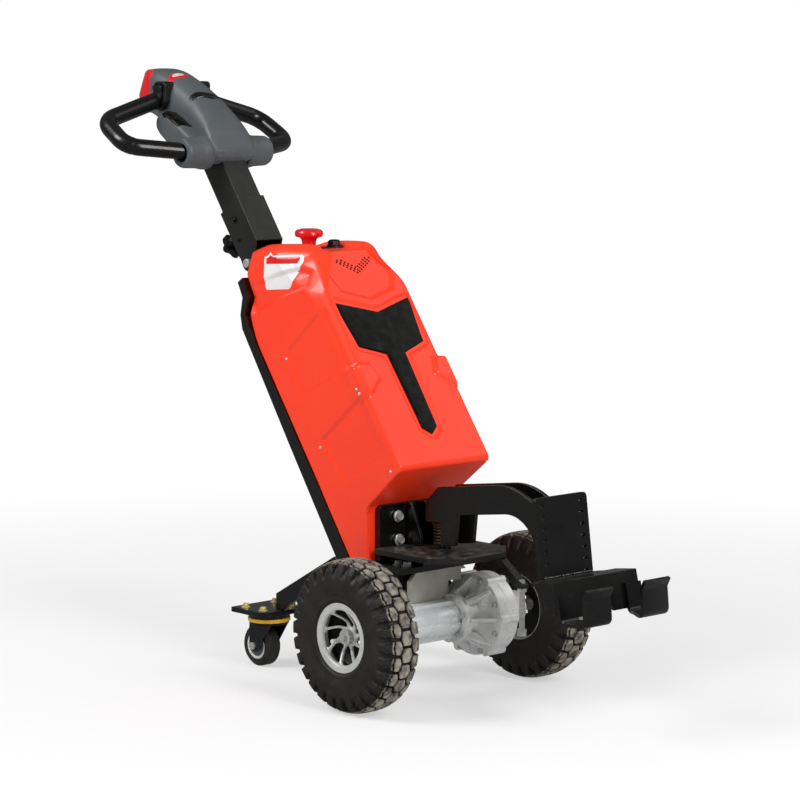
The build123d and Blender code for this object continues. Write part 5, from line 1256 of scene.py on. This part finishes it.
# %% Bent sheet with a slanted inner edge
def from_arm(u, y, v):
    """Frame place in metres of an arm point in mm: x = u cos p - v sin p, z = deck + u sin p + v cos p."""
    c, w = math.cos(ARM_PITCH), math.sin(ARM_PITCH)
    return to_frame(u * c - v * w, y, DECK_TOP + u * w + v * c)


HOOK_HALF_THICK = 3.2
HOOK_OUTER = 98.0
hook_route = rounded_outline([(353.8, -66), (358.5, -112), (411, -117.5), (412.5, -73), (421.5, -60)],
                             [0, 9, 9, 7, 0], 1.5, closed=False)
along = np.gradient(hook_route, axis=0)
along /= np.linalg.norm(along, axis=1, keepdims=True)
inner = column(62 - 25 * smooth(hook_route[:, 0], 356, 412))
share, face = np.array([(0, -1), (0.01, -1.0), (0.985, -1), (1, -0.8), (1, 0.8), (0.985, 1), (0.015, 1), (0, 0.8),
                        (0, -0.8)]).T
u = hook_route[:, :1] - along[:, 1:] * HOOK_HALF_THICK * face
v = hook_route[:, 1:] + along[:, :1] * HOOK_HALF_THICK * face
hooks = [closed_rows(from_arm(u, side * (inner + (HOOK_OUTER - inner) * share), v)) for side, _ in SIDES]
put_piece("hook_sheets", hooks, "frame_black", body_of_node["tow_hooks"], "tow_hooks", smooth_angle=35)
BEAD_U, BEAD_V, BEAD_HALF, BEAD_POINTS = 288.5, -44.5, 58, 150
k = np.arange(BEAD_POINTS)
bead = np.stack([BEAD_U + 0 * k, np.linspace(-BEAD_HALF, BEAD_HALF, BEAD_POINTS), BEAD_V + 0 * k], axis=-1)
ripple = 1.9 + 0.5 * np.sin(k * 1.3) + 0.3 * np.sin(k * 0.37)
u, y, v = np.moveaxis(tube_along(bead, ripple, around=12), -1, 0)
put_piece("weld_bead", [closed_rows(from_arm(u, y, v))], "frame_black", body_of_node["tow_bar"])
print("hooks", len(hook_route), "rows")

# %% [markdown]
# ## Floor and light
# The photograph has a white floor that runs into a white background, with a
# soft shadow under the wheels. The floor here is pale and catches the shadow,
# and rays from the camera see white beyond it. One large soft
# box stands above and to the left, a second lights the front faces, and a third
# behind draws a bright edge. The even light stays low, so that black paint
# stays black and shows the boxes as streaks.


# %% Pale floor, white surroundings and soft boxes
def white_glow(tree, strength):
    """A white emission of a given strength."""
    glow = tree.nodes.new("ShaderNodeEmission")
    glow.inputs["Color"].default_value = (1.0, 1.0, 1.0, 1.0)
    glow.inputs["Strength"].default_value = strength
    return glow.outputs[0]


def blend_shader(tree, share, first, second):
    """A shader mix: first where the share is 0, second where it is 1."""
    node = tree.nodes.new("ShaderNodeMixShader")
    for socket, value in zip(node.inputs, (share, first, second)):
        tree.links.new(value, socket)
    return node.outputs[0]


def pale_floor(size):
    """A flat square at z = 0; camera rays see half white glow, half lit diffuse, all glow further out."""
    half = size / 2
    mesh = bpy.data.meshes.new("studio_floor")
    mesh.from_pydata([(-half, -half, 0), (half, -half, 0), (half, half, 0), (-half, half, 0)], [], [(0, 1, 2, 3)])
    floor = bpy.data.objects.new("studio_floor", mesh)
    bpy.context.scene.collection.objects.link(floor)
    material = bpy.data.materials.new("studio_floor")
    material.use_nodes = True
    tree = material.node_tree
    tree.nodes.clear()
    diffuse = tree.nodes.new("ShaderNodeBsdfDiffuse")
    diffuse.inputs["Color"].default_value = (0.86, 0.86, 0.86, 1.0)
    path = tree.nodes.new("ShaderNodeLightPath")
    reach = tree.nodes.new("ShaderNodeVectorMath")
    reach.operation = "LENGTH"
    tree.links.new(tree.nodes.new("ShaderNodeTexCoord").outputs["Object"], reach.inputs[0])
    share = spread(tree, reach.outputs["Value"], 0.9, 2.2, 0.5, 1.0)
    share = arithmetic(tree, "MULTIPLY", path.outputs["Is Camera Ray"], share)
    lit = blend_shader(tree, share, diffuse.outputs[0], white_glow(tree, 1.0))
    seen = blend_shader(tree, path.outputs["Is Glossy Ray"], lit, white_glow(tree, 0.2))
    tree.links.new(seen, tree.nodes.new("ShaderNodeOutputMaterial").inputs["Surface"])
    mesh.materials.append(material)


def soft_box(name, place, target, width, height, watts):
    """A rectangular area lamp at a place, turned so that its face looks at the target."""
    data = bpy.data.lights.new(name, "AREA")
    data.shape = "RECTANGLE"
    data.size = width
    data.size_y = height
    data.energy = watts
    lamp = bpy.data.objects.new(name, data)
    lamp.location = place
    offset = np.array(target) - np.array(place)
    lamp.rotation_euler = (
        math.atan2(math.hypot(offset[0], offset[1]), -offset[2]),
        0.0,
        math.atan2(offset[1], offset[0]) - math.pi / 2,
    )
    bpy.context.scene.collection.objects.link(lamp)
    return lamp


def white_world(strength, mirrored):
    """Even white light at a strength; rays from the camera see plain white, mirror rays the dimmer value."""
    world = bpy.data.worlds.new("studio_world")
    world.use_nodes = True
    tree = world.node_tree
    back = tree.nodes["Background"]
    back.inputs["Color"].default_value = (1.0, 1.0, 1.0, 1.0)
    path = tree.nodes.new("ShaderNodeLightPath")
    dim = spread(tree, path.outputs["Is Glossy Ray"], 0.0, 1.0, strength, mirrored)
    level = spread(tree, path.outputs["Is Camera Ray"], 0.0, 1.0, dim, 1.0)
    tree.links.new(level, back.inputs["Strength"])
    bpy.context.scene.world = world


pale_floor(40.0)
centre = (0.0, 0.0, 0.5)
soft_box("key_box", (-1.2, -2.6, 3.0), centre, 1.6, 1.6, 84.0)
soft_box("front_box", (3.2, -0.3, 2.2), centre, 1.2, 2.2, 78.0)
soft_box("back_box", (1.4, 2.5, 2.8), centre, 2.2, 1.8, 9.0)
white_world(0.42, 0.12)
print("lights:", len(bpy.data.lights))

# %% [markdown]
# ## Last update
# The view layer is updated once more.

# %% Update the view layer
bpy.context.view_layer.update()
